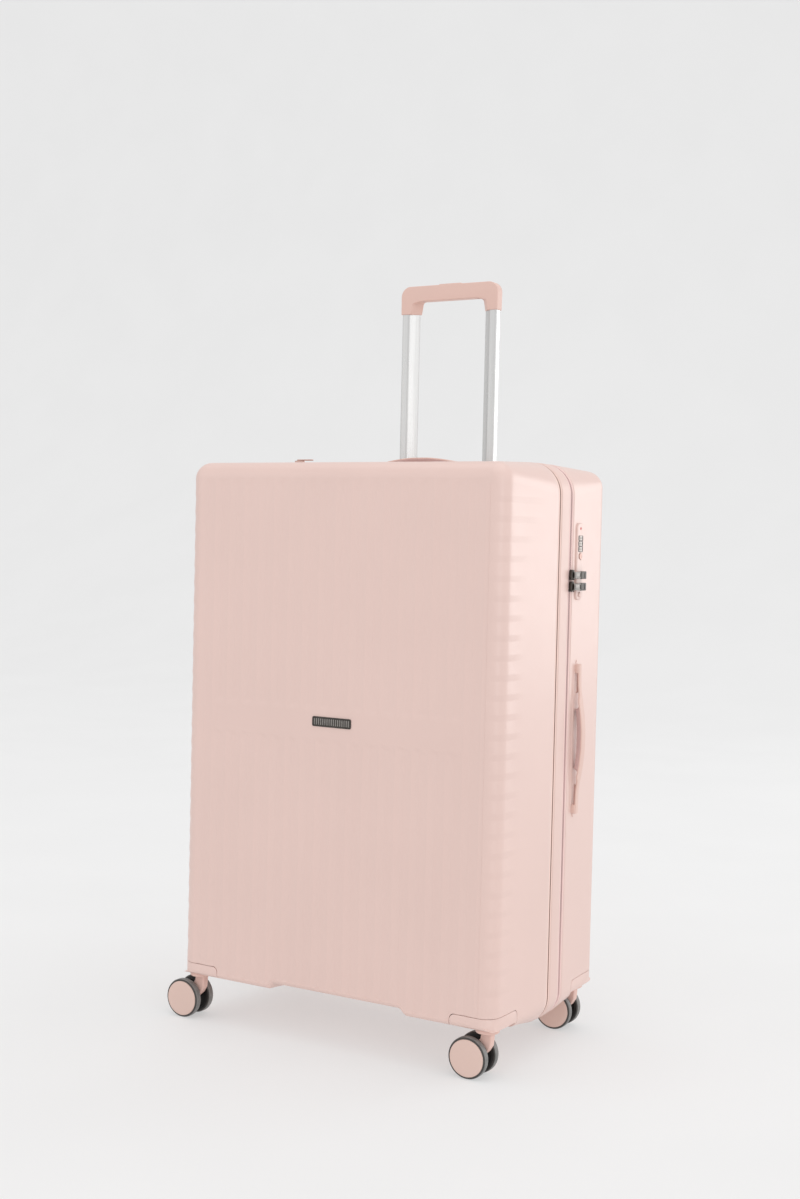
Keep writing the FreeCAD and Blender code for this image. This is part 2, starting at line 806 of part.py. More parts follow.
def belly_height(side, y):
    """The height of the sloping underside at a place along Y."""
    mouth = "-front_open" if side < 0 else "back_open"
    return f"rim_bottom + (face_bottom - rim_bottom) * (({y}) - {mouth}) / (face_y - {mouth})"


def housing_screws(side):
    """Six screws through the housing flanges, and in the back shell two for the foot bracket."""
    name = half_names(side)
    screws = []
    places = (("guard_x - 7", 103), ("guard_x - 7", 128), (202, f"{guard_end(side)} - 7"))
    for k, (x, y) in enumerate(places):
        along = f"{side} * ({y})"
        right = screw(f"{name}_screw_{k}", x, along, belly_height(side, y))
        screws += [right, mirrored(f"{name}_screw_{k}_left", right)]
    if side > 0:
        for end, x in (("left", -60), ("right", 60)):
            shank = rod(f"foot_shank_{end}", "y", 1.8, (x, 144, "sleeve_foot - 15"), 5)
            head = rod(f"foot_head_{end}", "y", 3.6, (x, 142.4, "sleeve_foot - 15"), 2.5)
            screws.append(fuse(f"foot_screw_{end}", shank, head))
    label(group(f"{name}_screws", *screws), f"{name}_shell_screws")


def caster(name, x, y):
    """A fork, and an axle that carries two hubs with their tyres. The wheels trail towards -X."""
    leg = (
        (-14, 59),
        (8, 59),
        (7, 42),
        (-5, 27),
        (-13, 18),
        (-25, 18),
        (-28, 27),
        (-24, 40),
    )
    corners = tuple((f"({x}) + ({a})", b) for a, b in leg)
    low, high = f"({y}) - fork_half", f"({y}) + fork_half"
    blade = prism(f"{name}_blade", "xz", corners, low, high, (((1, 2, 3, 4, 5, 6, 7), 3),))
    disc = rod(f"{name}_disc", "z", 15, (x, y, "fork_top - 5"), 5)
    pin_hole = rod(f"{name}_pin_hole", "z", "kingpin_radius + fit", (x, y, 46.5), 30)
    axle_x = f"({x}) - trail"
    hole_start = (axle_x, f"({y}) - 20", "wheel_radius")
    axle_hole = rod(f"{name}_axle_hole", "y", "axle_radius + fit", hole_start, 40)
    fork = cut(f"{name}_fork_piece", fuse(f"{name}_fork_whole", blade, disc), pin_hole, axle_hole)
    label(fork, f"{name}_fork")
    start = (axle_x, f"({y}) - wheel_outer + 3", "wheel_radius")
    label(rod(f"{name}_axle_piece", "y", "axle_radius", start, "2 * wheel_outer - 6"), f"{name}_axle")
    hub = turned(
        f"{name}_hub",
        (
            (0, "wheel_outer - 3"),
            ("axle_radius", "wheel_outer - 3"),
            ("axle_radius", "wheel_inner"),
            (7, "wheel_inner"),
            (7.6, "wheel_inner + 6"),
            (19.4, "wheel_inner + 6"),
            (20, "wheel_inner + 0.4"),
            ("hub_radius", "wheel_inner + 0.4"),
            ("hub_radius", "wheel_outer - 1"),
            ("hub_radius - 1", "wheel_outer"),
            (0, "wheel_outer + 0.4"),
        ),
    )
    tyre = turned(
        f"{name}_tyre",
        (
            ("hub_radius", "wheel_inner + 0.6"),
            ("wheel_radius - 1.4", "wheel_inner + 0.6"),
            ("wheel_radius", "wheel_inner + 2.4"),
            ("wheel_radius", "wheel_outer - 2.6"),
            ("wheel_radius - 1.4", "wheel_outer - 1"),
            ("hub_radius", "wheel_outer - 1"),
        ),
    )
    for kind, far_one in (("hub", hub), ("tyre", tyre)):
        place(far_one, axle_x, y, "wheel_radius")
        near_one = mirrored(f"{name}_{kind}_near", far_one, (0, 1, 0), (0, y, 0))
        label(group(f"{name}_{kind}_pair", far_one, near_one), f"{name}_{kind}s")


# ---- linings and fittings inside ----


def lining(side):
    """A thin fabric lining, cut away around housings, handle legs, lock and handle well."""
    name = half_names(side)
    outer = half_case(f"{name}_lining_outer", side, "lining_outer")
    inner = half_case(f"{name}_lining_inner", side, "lining_inner")
    corners = both_sides(
        f"{name}_lining_corners",
        "guard_x - flange - 4",
        300,
        outwards(side, f"{guard_end(side)} - flange - 4", 200),
        (0, "guard_top + 14"),
    )
    if side < 0:
        return label(cut("front_lining_piece", outer, inner, corners), "front_lining")
    depth = box("lining_depth", (-300, 300), (0, "lining_back"), (0, 800))
    hollow = box("lining_hollow", (-300, 300), (0, "lining_back - 0.8"), (0, 800))
    skin = cut(
        "back_lining_skin",
        common("back_lining_outside", outer, depth),
        common("back_lining_inside", inner, hollow),
    )
    return skin, corners


def packing_straps():
    """Two crossed straps that lie on the back lining, with a buckle where they cross."""
    bands = []
    for end, slope in (("rising", 1), ("falling", -1)):
        corners = [(-212, 395 - slope * 215), (-186, 395 - slope * 215)]
        corners += [(212, 395 + slope * 215), (186, 395 + slope * 215)]
        bands.append(prism(f"strap_{end}", "xz", corners, 119.2, 120.6))
    buckle = prism(
        "buckle_piece",
        "xz",
        ((-30, 375), (30, 375), (38, 395), (30, 415), (-30, 415), (-38, 395)),
        114.2,
        119.2,
        (((0, 1, 2, 3, 4, 5), 4),),
    )
    label(group("straps", fuse("strap_cross", *bands), buckle), "packing_straps")


def mesh_pocket():
    pocket = prism(
        "pocket",
        "xz",
        ((-205, 110), (205, 110), (205, 640), (-205, 640)),
        -144.6,
        -143.4,
        (((0, 1, 2, 3), 20),),
    )
    label(pocket, "mesh_pocket")


def badge():
    plate = prism(
        "badge",
        "xz",
        ((-32, 415.5), (27, 415.5), (27, 428.5), (-32, 428.5)),
        "-face_y - 1.2",
        "-face_y",
        (((0, 1, 2, 3), 2),),
    )
    label(plate, "badge_plate")


# ---- assembly ----


def shells(cup):
    """Both shells, and the back lining that shares the back shell's openings."""
    outer, inner, corners = shell(-1)
    label(cut("front_case_shell", outer, inner, corners), "front_shell")
    outer, inner, corners = shell(1)
    top_slots = put_top(handle_cutters("top_slots", (85.6, 98.4), "handle_half + 0.4", (-12, 8)))
    side_slots = put_side(handle_cutters("side_slots", (85.6, 98.4), "handle_half + 0.4", (-12, 8)))
    lock_hole = lock_prism("lock_hole", 0.05, 200, 260)
    tools = (inner, corners, top_slots, side_slots, lock_hole)
    label(cut("back_case_shell", outer, *tools, cup), "back_shell")
    skin, lining_corners = lining(1)
    top_holes = put_top(handle_cutters("top_holes", (84, 106), 11, (-27, 0)))
    side_holes = put_side(handle_cutters("side_holes", (84, 106), 11, (-27, 0)))
    lock_room = box(
        "lock_room",
        (220, 300),
        ("lock_y - lock_half - 2", "lock_y + lock_half + 2"),
        ("lock_bottom - 2", "lock_top + 2"),
    )
    well_room = box("well_room", (-84, 84), (116.4, 150), ("well_floor - 3", 800))
    rooms = (lining_corners, top_holes, side_holes, lock_room, well_room)
    label(cut("back_lining_piece", skin, *rooms), "back_lining")
    lining(-1)


def checked(name, thing):
    """A sub-part's shape, refused unless it is sound."""
    shape = thing.Shape
    if shape.isNull() or not shape.isValid() or not shape.Solids:
        raise RuntimeError(f"{name} has no valid solid")
    return shape


cup_block = handle_well()
shells(cup_block)
zips()
for slider, slider_level in (("upper", "upper_slider_z"), ("lower", "lower_slider_z")):
    main_slider(slider, slider_level)
expansion_slider()
carry_handles()
lock()
telescopic_tubes()
telescopic_grip()
packing_straps()
mesh_pocket()
badge()
for half in (-1, 1):
    housing(half)
    housing_screws(half)
for end, swivel in (("front", "front_swivel_y"), ("rear", "rear_swivel_y")):
    caster(f"{end}_left", "-swivel_x", swivel)
    caster(f"{end}_right", "swivel_x", swivel)
doc.recompute()

faults = [o.Name for o in doc.Objects if "Invalid" in o.State or "Error" in o.State]
if faults:
    raise RuntimeError("failed objects: " + ", ".join(faults))
for name, thing in nodes.items():
    shape = checked(name, thing)
    shape.exportStep(f"parts/{name}.step")
    print(f"{name}: {len(shape.Solids)} solid(s), {shape.Volume / 1000:.2f} cm3")
print(len(nodes), "sub-parts")
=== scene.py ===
"""A hard shell suitcase on four twin casters: its looks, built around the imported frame.

Lengths are in millimetres here, in the frame's own axes: +Z up, +Y towards the back of the case,
+X towards the side with the lock. to_object() turns them into metres.
"""

import math

import bmesh
import bpy
import numpy as np
from mathutils import Matrix, Vector


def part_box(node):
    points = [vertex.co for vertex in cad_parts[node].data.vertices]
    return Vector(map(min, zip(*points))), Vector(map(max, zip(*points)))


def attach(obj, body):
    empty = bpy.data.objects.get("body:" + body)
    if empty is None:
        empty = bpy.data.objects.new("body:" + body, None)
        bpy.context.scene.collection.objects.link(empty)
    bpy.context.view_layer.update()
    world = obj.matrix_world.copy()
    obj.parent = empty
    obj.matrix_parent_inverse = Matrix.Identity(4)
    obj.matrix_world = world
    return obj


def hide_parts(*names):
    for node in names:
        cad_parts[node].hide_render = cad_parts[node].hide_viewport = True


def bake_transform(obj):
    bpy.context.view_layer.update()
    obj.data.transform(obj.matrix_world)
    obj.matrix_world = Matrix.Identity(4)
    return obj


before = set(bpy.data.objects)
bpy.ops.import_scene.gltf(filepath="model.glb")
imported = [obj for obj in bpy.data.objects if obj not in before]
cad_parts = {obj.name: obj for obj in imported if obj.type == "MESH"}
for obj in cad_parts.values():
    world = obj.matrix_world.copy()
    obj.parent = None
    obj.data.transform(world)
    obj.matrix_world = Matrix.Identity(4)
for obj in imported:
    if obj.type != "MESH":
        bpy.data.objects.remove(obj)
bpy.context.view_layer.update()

MM = 0.001


def span(node):
    """Lowest and highest corner of a CAD node, in millimetres."""
    low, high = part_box(node)
    return Vector(low) / MM, Vector(high) / MM


# ---- places that come from the frame ----

band_low, band_high = span("rim_band")
front_low, front_high = span("front_shell")
HALF_WIDTH = band_high.x
RIM_BOTTOM, RIM_TOP = band_low.z, band_high.z
BAND_FRONT, BAND_BACK = band_low.y, band_high.y
FACE_Y = -front_low.y
FRONT_MOUTH = -front_high.y
BACK_MOUTH = span("back_shell")[0].y
EXPANDER_Y = 0.5 * (span("expansion_zip_front")[1].y + span("expansion_zip_rear")[0].y)
MAIN_ZIP_Y = 0.5 * (span("main_zip_front")[1].y + span("main_zip_rear")[0].y)
GUARD_TOP = 78.5
GUARD_BOTTOM = 62.7
GUARD_X = 178.0
GUARD_Y = {-1: 87.0, 1: 69.0}

# ---- the form of the case, as part of its design ----

DRAFT = 4.5
BELLY_RISE = 27.0
BELLY_CURVE = 1.6
TOP_FALL = 6.0
RIM_TOP_ROUND = 42.0
RIM_FOOT_ROUND = 38.0
FACE_TOP_ROUND = 20.4
EDGE_ROUND = 20.0
SOLE_ROUND = {-1: 6.0, 1: 9.0}
WALL = 2.6
TOP_RISE = 11.3
SOLE_BLEND = 82.0
FLANK_X = 205.0
FLANK_Z = (84.0, 740.0)
TOP_END = 5.0
SIDE_RISE = 13.8
SIDE_END = 6.4
HANDLE_HALF = 6.5

# ---- the relief of the shells ----

RIB_PITCH = 23.9
RIB_START = 217.0
RIB_STEEP = 10.0
RIB_DEPTH = 0.78
RIB_TOP = 733.0
STEP_PITCH = 24.0
STEP_START = 709.0
STEP_STEEP = 8.0
STEP_DEPTH = 0.65
FOLD_DEPTH = 5.6
BELT = (402.0, 434.0)
BELT_HALF = 185.0
ARCH = (-90.0, 110.0)
ARCH_RISE = 8.0


# ---------------------------------------------------------------- meshes


def to_object(name, vertices, faces, smooth=True, angle=35):
    """A mesh object from points in millimetres."""
    mesh = bpy.data.meshes.new(name)
    mesh.from_pydata((np.asarray(vertices, float) * MM).tolist(), [], faces)
    mesh.validate()
    mesh.update()
    made = bpy.data.objects.new(name, mesh)
    bpy.context.scene.collection.objects.link(made)
    if smooth:
        shade(made, angle)
    return made


def shade(thing, angle=35):
    """Smooth shading, with edges sharper than the angle kept."""
    thing.data.shade_smooth()
    thing.data.set_sharp_from_angle(angle=math.radians(angle))


def apply_modifiers(thing):
    """Bakes the modifiers of an object into its mesh."""
    graph = bpy.context.evaluated_depsgraph_get()
    baked = bpy.data.meshes.new_from_object(thing.evaluated_get(graph))
    thing.modifiers.clear()
    old = thing.data
    thing.data = baked
    bpy.data.meshes.remove(old)
    baked.name = thing.name
    return thing


def outward(thing):
    """Turns all normals outwards."""
    mesh = bmesh.new()
    mesh.from_mesh(thing.data)
    bmesh.ops.recalc_face_normals(mesh, faces=mesh.faces)
    mesh.to_mesh(thing.data)
    mesh.free()
    return thing


def bevelled(thing, width, segments=3, angle=35):
    """Rounds the sharp edges."""
    bevel = thing.modifiers.new("bevel", "BEVEL")
    bevel.width = width * MM
    bevel.segments = segments
    bevel.limit_method = "ANGLE"
    bevel.angle_limit = math.radians(angle)
    apply_modifiers(thing)
    shade(thing, angle)
    return thing


def boolean(base, tool, operation="DIFFERENCE"):
    """Joins, cuts or crosses two closed meshes, and removes the tool."""
    step = base.modifiers.new("step", "BOOLEAN")
    step.operation = operation
    step.object = tool
    step.solver = "MANIFOLD"
    apply_modifiers(base)
    old = tool.data
    bpy.data.objects.remove(tool)
    bpy.data.meshes.remove(old)
    return base


def joined(name, *things):
    """One object from several."""
    mesh = bmesh.new()
    for thing in things:
        mesh.from_mesh(thing.data)
    result = bpy.data.meshes.new(name)
    mesh.to_mesh(result)
    mesh.free()
    for material in things[0].data.materials:
        result.materials.append(material)
    for thing in things:
        old = thing.data
        bpy.data.objects.remove(thing)
        bpy.data.meshes.remove(old)
    made = bpy.data.objects.new(name, result)
    bpy.context.scene.collection.objects.link(made)
    shade(made)
    return made


def block(name, low, high, round_by=0.0, segments=3):
    """A box between two corners, with rounded edges."""
    corners = [(x, y, z) for x in (low[0], high[0]) for y in (low[1], high[1]) for z in (low[2], high[2])]
    faces = [(0, 1, 3, 2), (4, 6, 7, 5), (0, 4, 5, 1), (2, 3, 7, 6), (0, 2, 6, 4), (1, 5, 7, 3)]
    made = to_object(name, corners, faces)
    return bevelled(made, round_by, segments) if round_by else made


AXES = {"x": (1, 2, 0), "y": (0, 2, 1), "z": (0, 1, 2)}


def plate(name, outline, axis, low, high, round_by=0.0, segments=3):
    """A closed outline, drawn in the two axes across the given one, made solid between two places."""
    a, b, c = AXES[axis]
    points = []
    for level in (low, high):
        for u, v in outline:
            point = [0.0, 0.0, 0.0]
            point[a], point[b], point[c] = u, v, level
            points.append(point)
    n = len(outline)
    faces = [tuple(range(n)), tuple(range(2 * n - 1, n - 1, -1))]
    faces += [(k, (k + 1) % n, n + (k + 1) % n, n + k) for k in range(n)]
    made = outward(to_object(name, points, faces))
    return bevelled(made, round_by, segments) if round_by else made


def rounded_outline(low, high, radius, steps=6):
    """A rectangle with rounded corners, as an outline."""
    points = []
    for k, (sx, sy) in enumerate(((1, 1), (-1, 1), (-1, -1), (1, -1))):
        cx = (high[0] - radius) if sx > 0 else (low[0] + radius)
        cy = (high[1] - radius) if sy > 0 else (low[1] + radius)
        for i in range(steps + 1):
            turn = math.radians(90 * k + 90 * i / steps)
            points.append((cx + radius * math.cos(turn), cy + radius * math.sin(turn)))
    return points


def lathe(name, profile, axis, centre, steps=64):
    """A (radius, along) profile turned about an axis through the centre. The profile closes itself."""
    a, b, c = AXES[axis]
    points = []
    for k in range(steps):
        turn = 2 * math.pi * k / steps
        for radius, along in profile:
            point = list(centre)
            point[a] += radius * math.cos(turn)
            point[b] += radius * math.sin(turn)
            point[c] += along
            points.append(point)
    n = len(profile)
    faces = []
    for k in range(steps):
        for j in range(n):
            one, two = k * n, ((k + 1) % steps) * n
            faces.append((one + j, one + (j + 1) % n, two + (j + 1) % n, two + j))
    made = to_object(name, points, faces)
    mesh = bmesh.new()
    mesh.from_mesh(made.data)
    bmesh.ops.remove_doubles(mesh, verts=mesh.verts, dist=1e-6)
    mesh.to_mesh(made.data)
    mesh.free()
    outward(made)
    shade(made)
    return made


# ---------------------------------------------------------------- materials


def new_material(name, colour, roughness, metallic=0.0):
    """A material with its output shader, and the nodes and links to build on."""
    material = bpy.data.materials.new(name)
    material.use_nodes = True
    nodes, links = material.node_tree.nodes, material.node_tree.links
    shader = nodes["Principled BSDF"]
    shader.inputs["Base Color"].default_value = (*colour, 1)
    shader.inputs["Roughness"].default_value = roughness
    shader.inputs["Metallic"].default_value = metallic
    return material, nodes, links, shader


def noise(nodes, links, scale, detail=3.0, stretch=(1, 1, 1)):
    """Noise in object space. scale is in cells per metre."""
    place = nodes.new("ShaderNodeTexCoord")
    mapping = nodes.new("ShaderNodeMapping")
    mapping.inputs["Scale"].default_value = stretch
    texture = nodes.new("ShaderNodeTexNoise")
    texture.inputs["Scale"].default_value = scale
    texture.inputs["Detail"].default_value = detail
    links.new(place.outputs["Object"], mapping.inputs["Vector"])
    links.new(mapping.outputs["Vector"], texture.inputs["Vector"])
    return texture.outputs["Fac"]


def wave(nodes, links, scale, direction, distortion=0.0):
    """Parallel bands in object space. scale is in bands per metre."""
    place = nodes.new("ShaderNodeTexCoord")
    texture = nodes.new("ShaderNodeTexWave")
    texture.bands_direction = direction
    texture.inputs["Scale"].default_value = scale / 3.18
    texture.inputs["Distortion"].default_value = distortion
    texture.inputs["Detail"].default_value = 1.0
    links.new(place.outputs["Object"], texture.inputs["Vector"])
    return texture.outputs["Fac"]


def blend_value(nodes, links, mode, one, two):
    """Two greys mixed in a mode such as MULTIPLY or ADD."""
    mix = nodes.new("ShaderNodeMath")
    mix.operation = mode
    links.new(one, mix.inputs[0])
    if isinstance(two, float):
        mix.inputs[1].default_value = two
    else:
        links.new(two, mix.inputs[1])
    return mix.outputs[0]


def tint(nodes, links, shader, factor, dark, light, low=0.35, high=0.65):
    """Colours a shader between two colours by a factor."""
    ramp = nodes.new("ShaderNodeValToRGB")
    ramp.color_ramp.elements[0].position = low
    ramp.color_ramp.elements[0].color = (*dark, 1)
    ramp.color_ramp.elements[1].position = high
    ramp.color_ramp.elements[1].color = (*light, 1)
    links.new(factor, ramp.inputs["Fac"])
    links.new(ramp.outputs["Color"], shader.inputs["Base Color"])
    return ramp


def roughen(nodes, links, shader, factor, low, high):
    """Roughness that follows a factor between two values."""
    spread = nodes.new("ShaderNodeMapRange")
    spread.inputs["To Min"].default_value = low
    spread.inputs["To Max"].default_value = high
    links.new(factor, spread.inputs["Value"])
    links.new(spread.outputs["Result"], shader.inputs["Roughness"])


def bump(nodes, links, shader, height, depth_mm, strength=1.0):
    """Surface relief from a height, as deep as stated."""
    relief = nodes.new("ShaderNodeBump")
    relief.inputs["Strength"].default_value = strength
    relief.inputs["Distance"].default_value = depth_mm * MM
    links.new(height, relief.inputs["Height"])
    links.new(relief.outputs["Normal"], shader.inputs["Normal"])


def shades(colour, spread):
    """A darker and a lighter version of a colour."""
    return tuple(c * (1 - spread) for c in colour), tuple(min(1, c * (1 + spread)) for c in colour)


def moulded_plastic(name, colour, roughness=0.42, grain=900.0, depth=0.02, spread=0.012, gloss=0.45):
    """Satin moulded plastic: a fine grain, soft colour drift and uneven polish."""
    material, nodes, links, shader = new_material(name, colour, roughness)
    dark, light = shades(colour, spread)
    tint(nodes, links, shader, noise(nodes, links, 7.0, 2.0), dark, light)
    fine = noise(nodes, links, grain, 4.0)
    roughen(nodes, links, shader, noise(nodes, links, 45.0, 3.0), roughness - 0.05, roughness + 0.05)
    bump(nodes, links, shader, fine, depth)
    shader.inputs["Specular IOR Level"].default_value = gloss
    return material


def woven(name, colour, threads=900.0, depth=0.12, spread=0.14, across="XYZ", roughness=0.85):
    """Plain woven cloth: two crossing sets of threads, with uneven dye."""
    material, nodes, links, shader = new_material(name, colour, roughness)
    sets = [wave(nodes, links, threads, direction, 0.6) for direction in across]
    height = sets[0]
    for other in sets[1:]:
        height = blend_value(nodes, links, "MULTIPLY", height, other)
    cloud = noise(nodes, links, 30.0, 3.0)
    dark, light = shades(colour, spread)
    both = blend_value(nodes, links, "ADD", height, cloud)
    tint(nodes, links, shader, both, dark, light, 0.35, 1.0)
    bump(nodes, links, shader, height, depth)
    shader.inputs["Sheen Weight"].default_value = 0.25
    shader.inputs["Sheen Roughness"].default_value = 0.5
    return material


def cast_metal(name, colour, roughness=0.32, spread=0.12):
    """Plated die casting: a faint mottle and an uneven polish."""
    material, nodes, links, shader = new_material(name, colour, roughness, 0.9)
    dark, light = shades(colour, spread)
    mottle = noise(nodes, links, 260.0, 4.0)
    tint(nodes, links, shader, mottle, dark, light)
    roughen(nodes, links, shader, noise(nodes, links, 700.0, 3.0), roughness - 0.08, roughness + 0.1)
    bump(nodes, links, shader, mottle, 0.02)
    return material


def anodised_tube(name, colour, roughness=0.3):
    """Extruded aluminium: fine die lines along Z under a satin anodised skin."""
    material, nodes, links, shader = new_material(name, colour, roughness, 0.85)
    lines = noise(nodes, links, 1400.0, 2.0, (1, 1, 0.004))
    dark, light = shades(colour, 0.05)
    tint(nodes, links, shader, lines, dark, light)
    roughen(
        nodes, links, shader, noise(nodes, links, 60.0, 2.0, (1, 1, 0.1)), roughness - 0.05, roughness + 0.07
    )
    bump(nodes, links, shader, lines, 0.01)
    return material


def net_cloth(name, colour):
    """Fine warp knitted net: rows of small holes between soft threads."""
    material, nodes, links, shader = new_material(name, colour, 0.8)
    place = nodes.new("ShaderNodeTexCoord")
    cells = nodes.new("ShaderNodeTexVoronoi")
    cells.feature = "DISTANCE_TO_EDGE"
    cells.inputs["Scale"].default_value = 520.0
    cells.inputs["Randomness"].default_value = 0.25
    links.new(place.outputs["Object"], cells.inputs["Vector"])
    threads = nodes.new("ShaderNodeMapRange")
    threads.inputs["From Min"].default_value = 0.10
    threads.inputs["From Max"].default_value = 0.16
    threads.inputs["To Min"].default_value = 1.0
    threads.inputs["To Max"].default_value = 0.0
    links.new(cells.outputs["Distance"], threads.inputs["Value"])
    links.new(threads.outputs["Result"], shader.inputs["Alpha"])
    dark, light = shades(colour, 0.15)
    tint(nodes, links, shader, noise(nodes, links, 80.0, 3.0), dark, light)
    bump(nodes, links, shader, threads.outputs["Result"], 0.08)
    shader.inputs["Sheen Weight"].default_value = 0.2
    return material


def rubber(name, colour, roughness=0.6):
    """Soft polyurethane with a dusty, slightly scuffed skin."""
    material, nodes, links, shader = new_material(name, colour, roughness)
    dust = noise(nodes, links, 120.0, 5.0)
    dark, light = shades(colour, 0.18)
    tint(nodes, links, shader, dust, dark, light)
    roughen(nodes, links, shader, dust, roughness - 0.1, roughness + 0.12)
    bump(nodes, links, shader, noise(nodes, links, 1600.0, 3.0), 0.03)
    return material


BLUSH = (0.765, 0.555, 0.50)
BLUSH_TRIM = (0.745, 0.52, 0.455)
BLUSH_CAP = (0.72, 0.525, 0.46)

SHELL = moulded_plastic("shell_plastic", BLUSH, 0.34, 950.0, 0.015, 0.010, 1.0)
BAND = moulded_plastic("band_plastic", BLUSH, 0.4, 900.0, 0.018, 0.012, 0.7)
TRIM = moulded_plastic("trim_plastic", BLUSH_TRIM, 0.48, 1100.0, 0.025, 0.02)
CAP = moulded_plastic("wheel_cap_plastic", BLUSH_CAP, 0.5, 1200.0, 0.02, 0.02)
FORK = moulded_plastic("fork_plastic", (0.78, 0.53, 0.465), 0.42, 1000.0, 0.02, 0.015)
BLACK = moulded_plastic("black_plastic", (0.022, 0.02, 0.02), 0.55, 1100.0, 0.03, 0.2)
PIPING = moulded_plastic("zip_piping_vinyl", (0.46, 0.25, 0.21), 0.5, 1100.0, 0.02, 0.06)
GRIP_PAD = moulded_plastic("grip_pad_plastic", (0.62, 0.43, 0.41), 0.62, 700.0, 0.06, 0.06)
SLOT_DARK = moulded_plastic("slot_shadow_plastic", (0.20, 0.065, 0.05), 0.6, 900.0, 0.03, 0.1)
TAPE = woven("zip_tape_cloth", (0.86, 0.62, 0.58), 1000.0, 0.08, 0.08)
TAPE_PINK = woven("expander_tape_cloth", (0.88, 0.66, 0.59), 1000.0, 0.06, 0.05)
COIL = moulded_plastic("zip_coil_nylon", (0.70, 0.47, 0.45), 0.38, 1500.0, 0.02, 0.10)
# The expander coil is a nylon coil whose dark brown is painted shade: it stands for the shadowed gap of the
# expansion zip.
EXPANDER_COIL_SHADE = moulded_plastic("expander_coil_painted_shade", (0.30, 0.135, 0.10), 0.42, 1500.0, 0.02, 0.10)
LINING = woven("lining_cloth", (0.42, 0.36, 0.34), 650.0, 0.10, 0.12)
GUSSET = woven("gusset_cloth", (0.55, 0.36, 0.335), 800.0, 0.12, 0.12)
WEBBING = woven("strap_webbing", (0.20, 0.17, 0.165), 420.0, 0.35, 0.25)
GUNMETAL = cast_metal("gunmetal_casting", (0.075, 0.068, 0.062), 0.34)
PINK_METAL = cast_metal("pink_enamel_metal", (0.62, 0.43, 0.38), 0.42, 0.05)
PULL_METAL = cast_metal("pull_metal", (0.30, 0.28, 0.265), 0.36)
STEEL = cast_metal("zinc_steel", (0.55, 0.55, 0.56), 0.3)
TUBE = anodised_tube("tube_aluminium", (0.62, 0.62, 0.615), 0.26)
NET = net_cloth("divider_net", (0.30, 0.26, 0.25))
RED = moulded_plastic("red_mark", (0.62, 0.03, 0.025), 0.35, 1500.0, 0.01, 0.05)
DIAL = moulded_plastic("dial_ivory", (0.78, 0.72, 0.68), 0.4, 1500.0, 0.01, 0.03)
INK = moulded_plastic("ink", (0.03, 0.028, 0.028), 0.5, 1500.0, 0.01, 0.1)
TYRE = rubber("tyre_rubber", (0.052, 0.047, 0.044))
# The tread grey is lighter than the tyre's sides: partly a grey tread compound, partly painted light where
# the light from the right falls on the tread.
TREAD_LIT = rubber("tread_rubber_painted_light", (0.20, 0.195, 0.19), 0.5)


def coat(thing, *materials):
    """Gives an object its materials."""
    thing.data.materials.clear()
    for material in materials:
        thing.data.materials.append(material)
    return thing


def finish_piece(thing, material, slot, body, *nodes):
    """Material, slot, body and the CAD nodes that a piece stands for."""
    if material:
        coat(thing, material)
    if body:
        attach(thing, body)
    if nodes:
        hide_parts(*nodes)
    return thing


# ---------------------------------------------------------------- the case form


class Form:
    """The outer form of one half of the case. side is -1 for the front half and +1 for the back."""

    def __init__(self, side):
        self.side = side
        self.mouth = FRONT_MOUTH if side < 0 else BACK_MOUTH

    def share(self, depth):
        """How far along the half's depth, from 0 at the mouth to 1 at the face."""
        return (depth - self.mouth) / (FACE_Y - self.mouth)

    def section(self, depth):
        """Half width, bottom, top and corner radii at a depth."""
        t = self.share(depth)
        foot = max(2.0, RIM_FOOT_ROUND * max(0.0, 1 - t) ** 1.6)
        return {
            "wide": HALF_WIDTH - DRAFT * t,
            "bottom": RIM_BOTTOM + BELLY_RISE * (1 - max(0.0, 1 - t) ** BELLY_CURVE),
            "top": RIM_TOP - TOP_FALL * t,
            "top_round": RIM_TOP_ROUND + (FACE_TOP_ROUND - RIM_TOP_ROUND) * t,
            "foot_round": foot if t > 0 else RIM_FOOT_ROUND,
        }


def smooth(low, high, value):
    """A smooth step from 0 at low to 1 at high."""
    t = min(1.0, max(0.0, (value - low) / (high - low)))
    return t * t * (3 - 2 * t)


def zigzag(value, pitch, steep):
    """A slanted wave from 0 to 1: it rises over the steep stretch and falls over the rest."""
    at = (value + 0.5 * steep) % pitch
    return at / steep if at < steep else (pitch - at) / (pitch - steep)


def relief_lines(start, pitch, steep, low, high, fillers):
    """Grid lines that keep the folds of a zigzag crisp."""
    fold = 0.9
    half = 0.5 * steep
    offsets = [-half - fold, -half, -half + fold, 0, half - fold, half, half + fold]
    gap = pitch - steep - 2 * fold
    offsets += [half + fold + gap * (k + 1) / (fillers + 1) for k in range(fillers)]
    found = {round(low, 3), round(high, 3)}
    first = math.floor((low - start) / pitch) - 1
    last = math.ceil((high - start) / pitch) + 1
    for k in range(first, last + 1):
        for offset in offsets:
            at = start + k * pitch + offset
            if low + 0.5 < at < high - 0.5:
                found.add(round(at, 3))
    return sorted(found)


def front_relief(x, z):
    """Depth of the upright ribs on a face."""
    rib = zigzag(x - RIB_START, RIB_PITCH, RIB_STEEP)
    scallop = 3.0 * abs(math.sin(math.pi * (x - RIB_START) / RIB_PITCH))
    ends = 1 - smooth(RIB_TOP - 10 + scallop, RIB_TOP + scallop, z)
    across = 1 - smooth(BELT_HALF, BELT_HALF + 6, abs(x))
    low = smooth(BELT[0] - 7 - scallop, BELT[0] - scallop, z)
    high = 1 - smooth(BELT[1] + scallop, BELT[1] + 7 + scallop, z)
    belt = across * low * high
    sides = 1 - smooth(RIB_START + 1, RIB_START + 9, abs(x))
    return RIB_DEPTH * rib * ends * (1 - belt) * sides


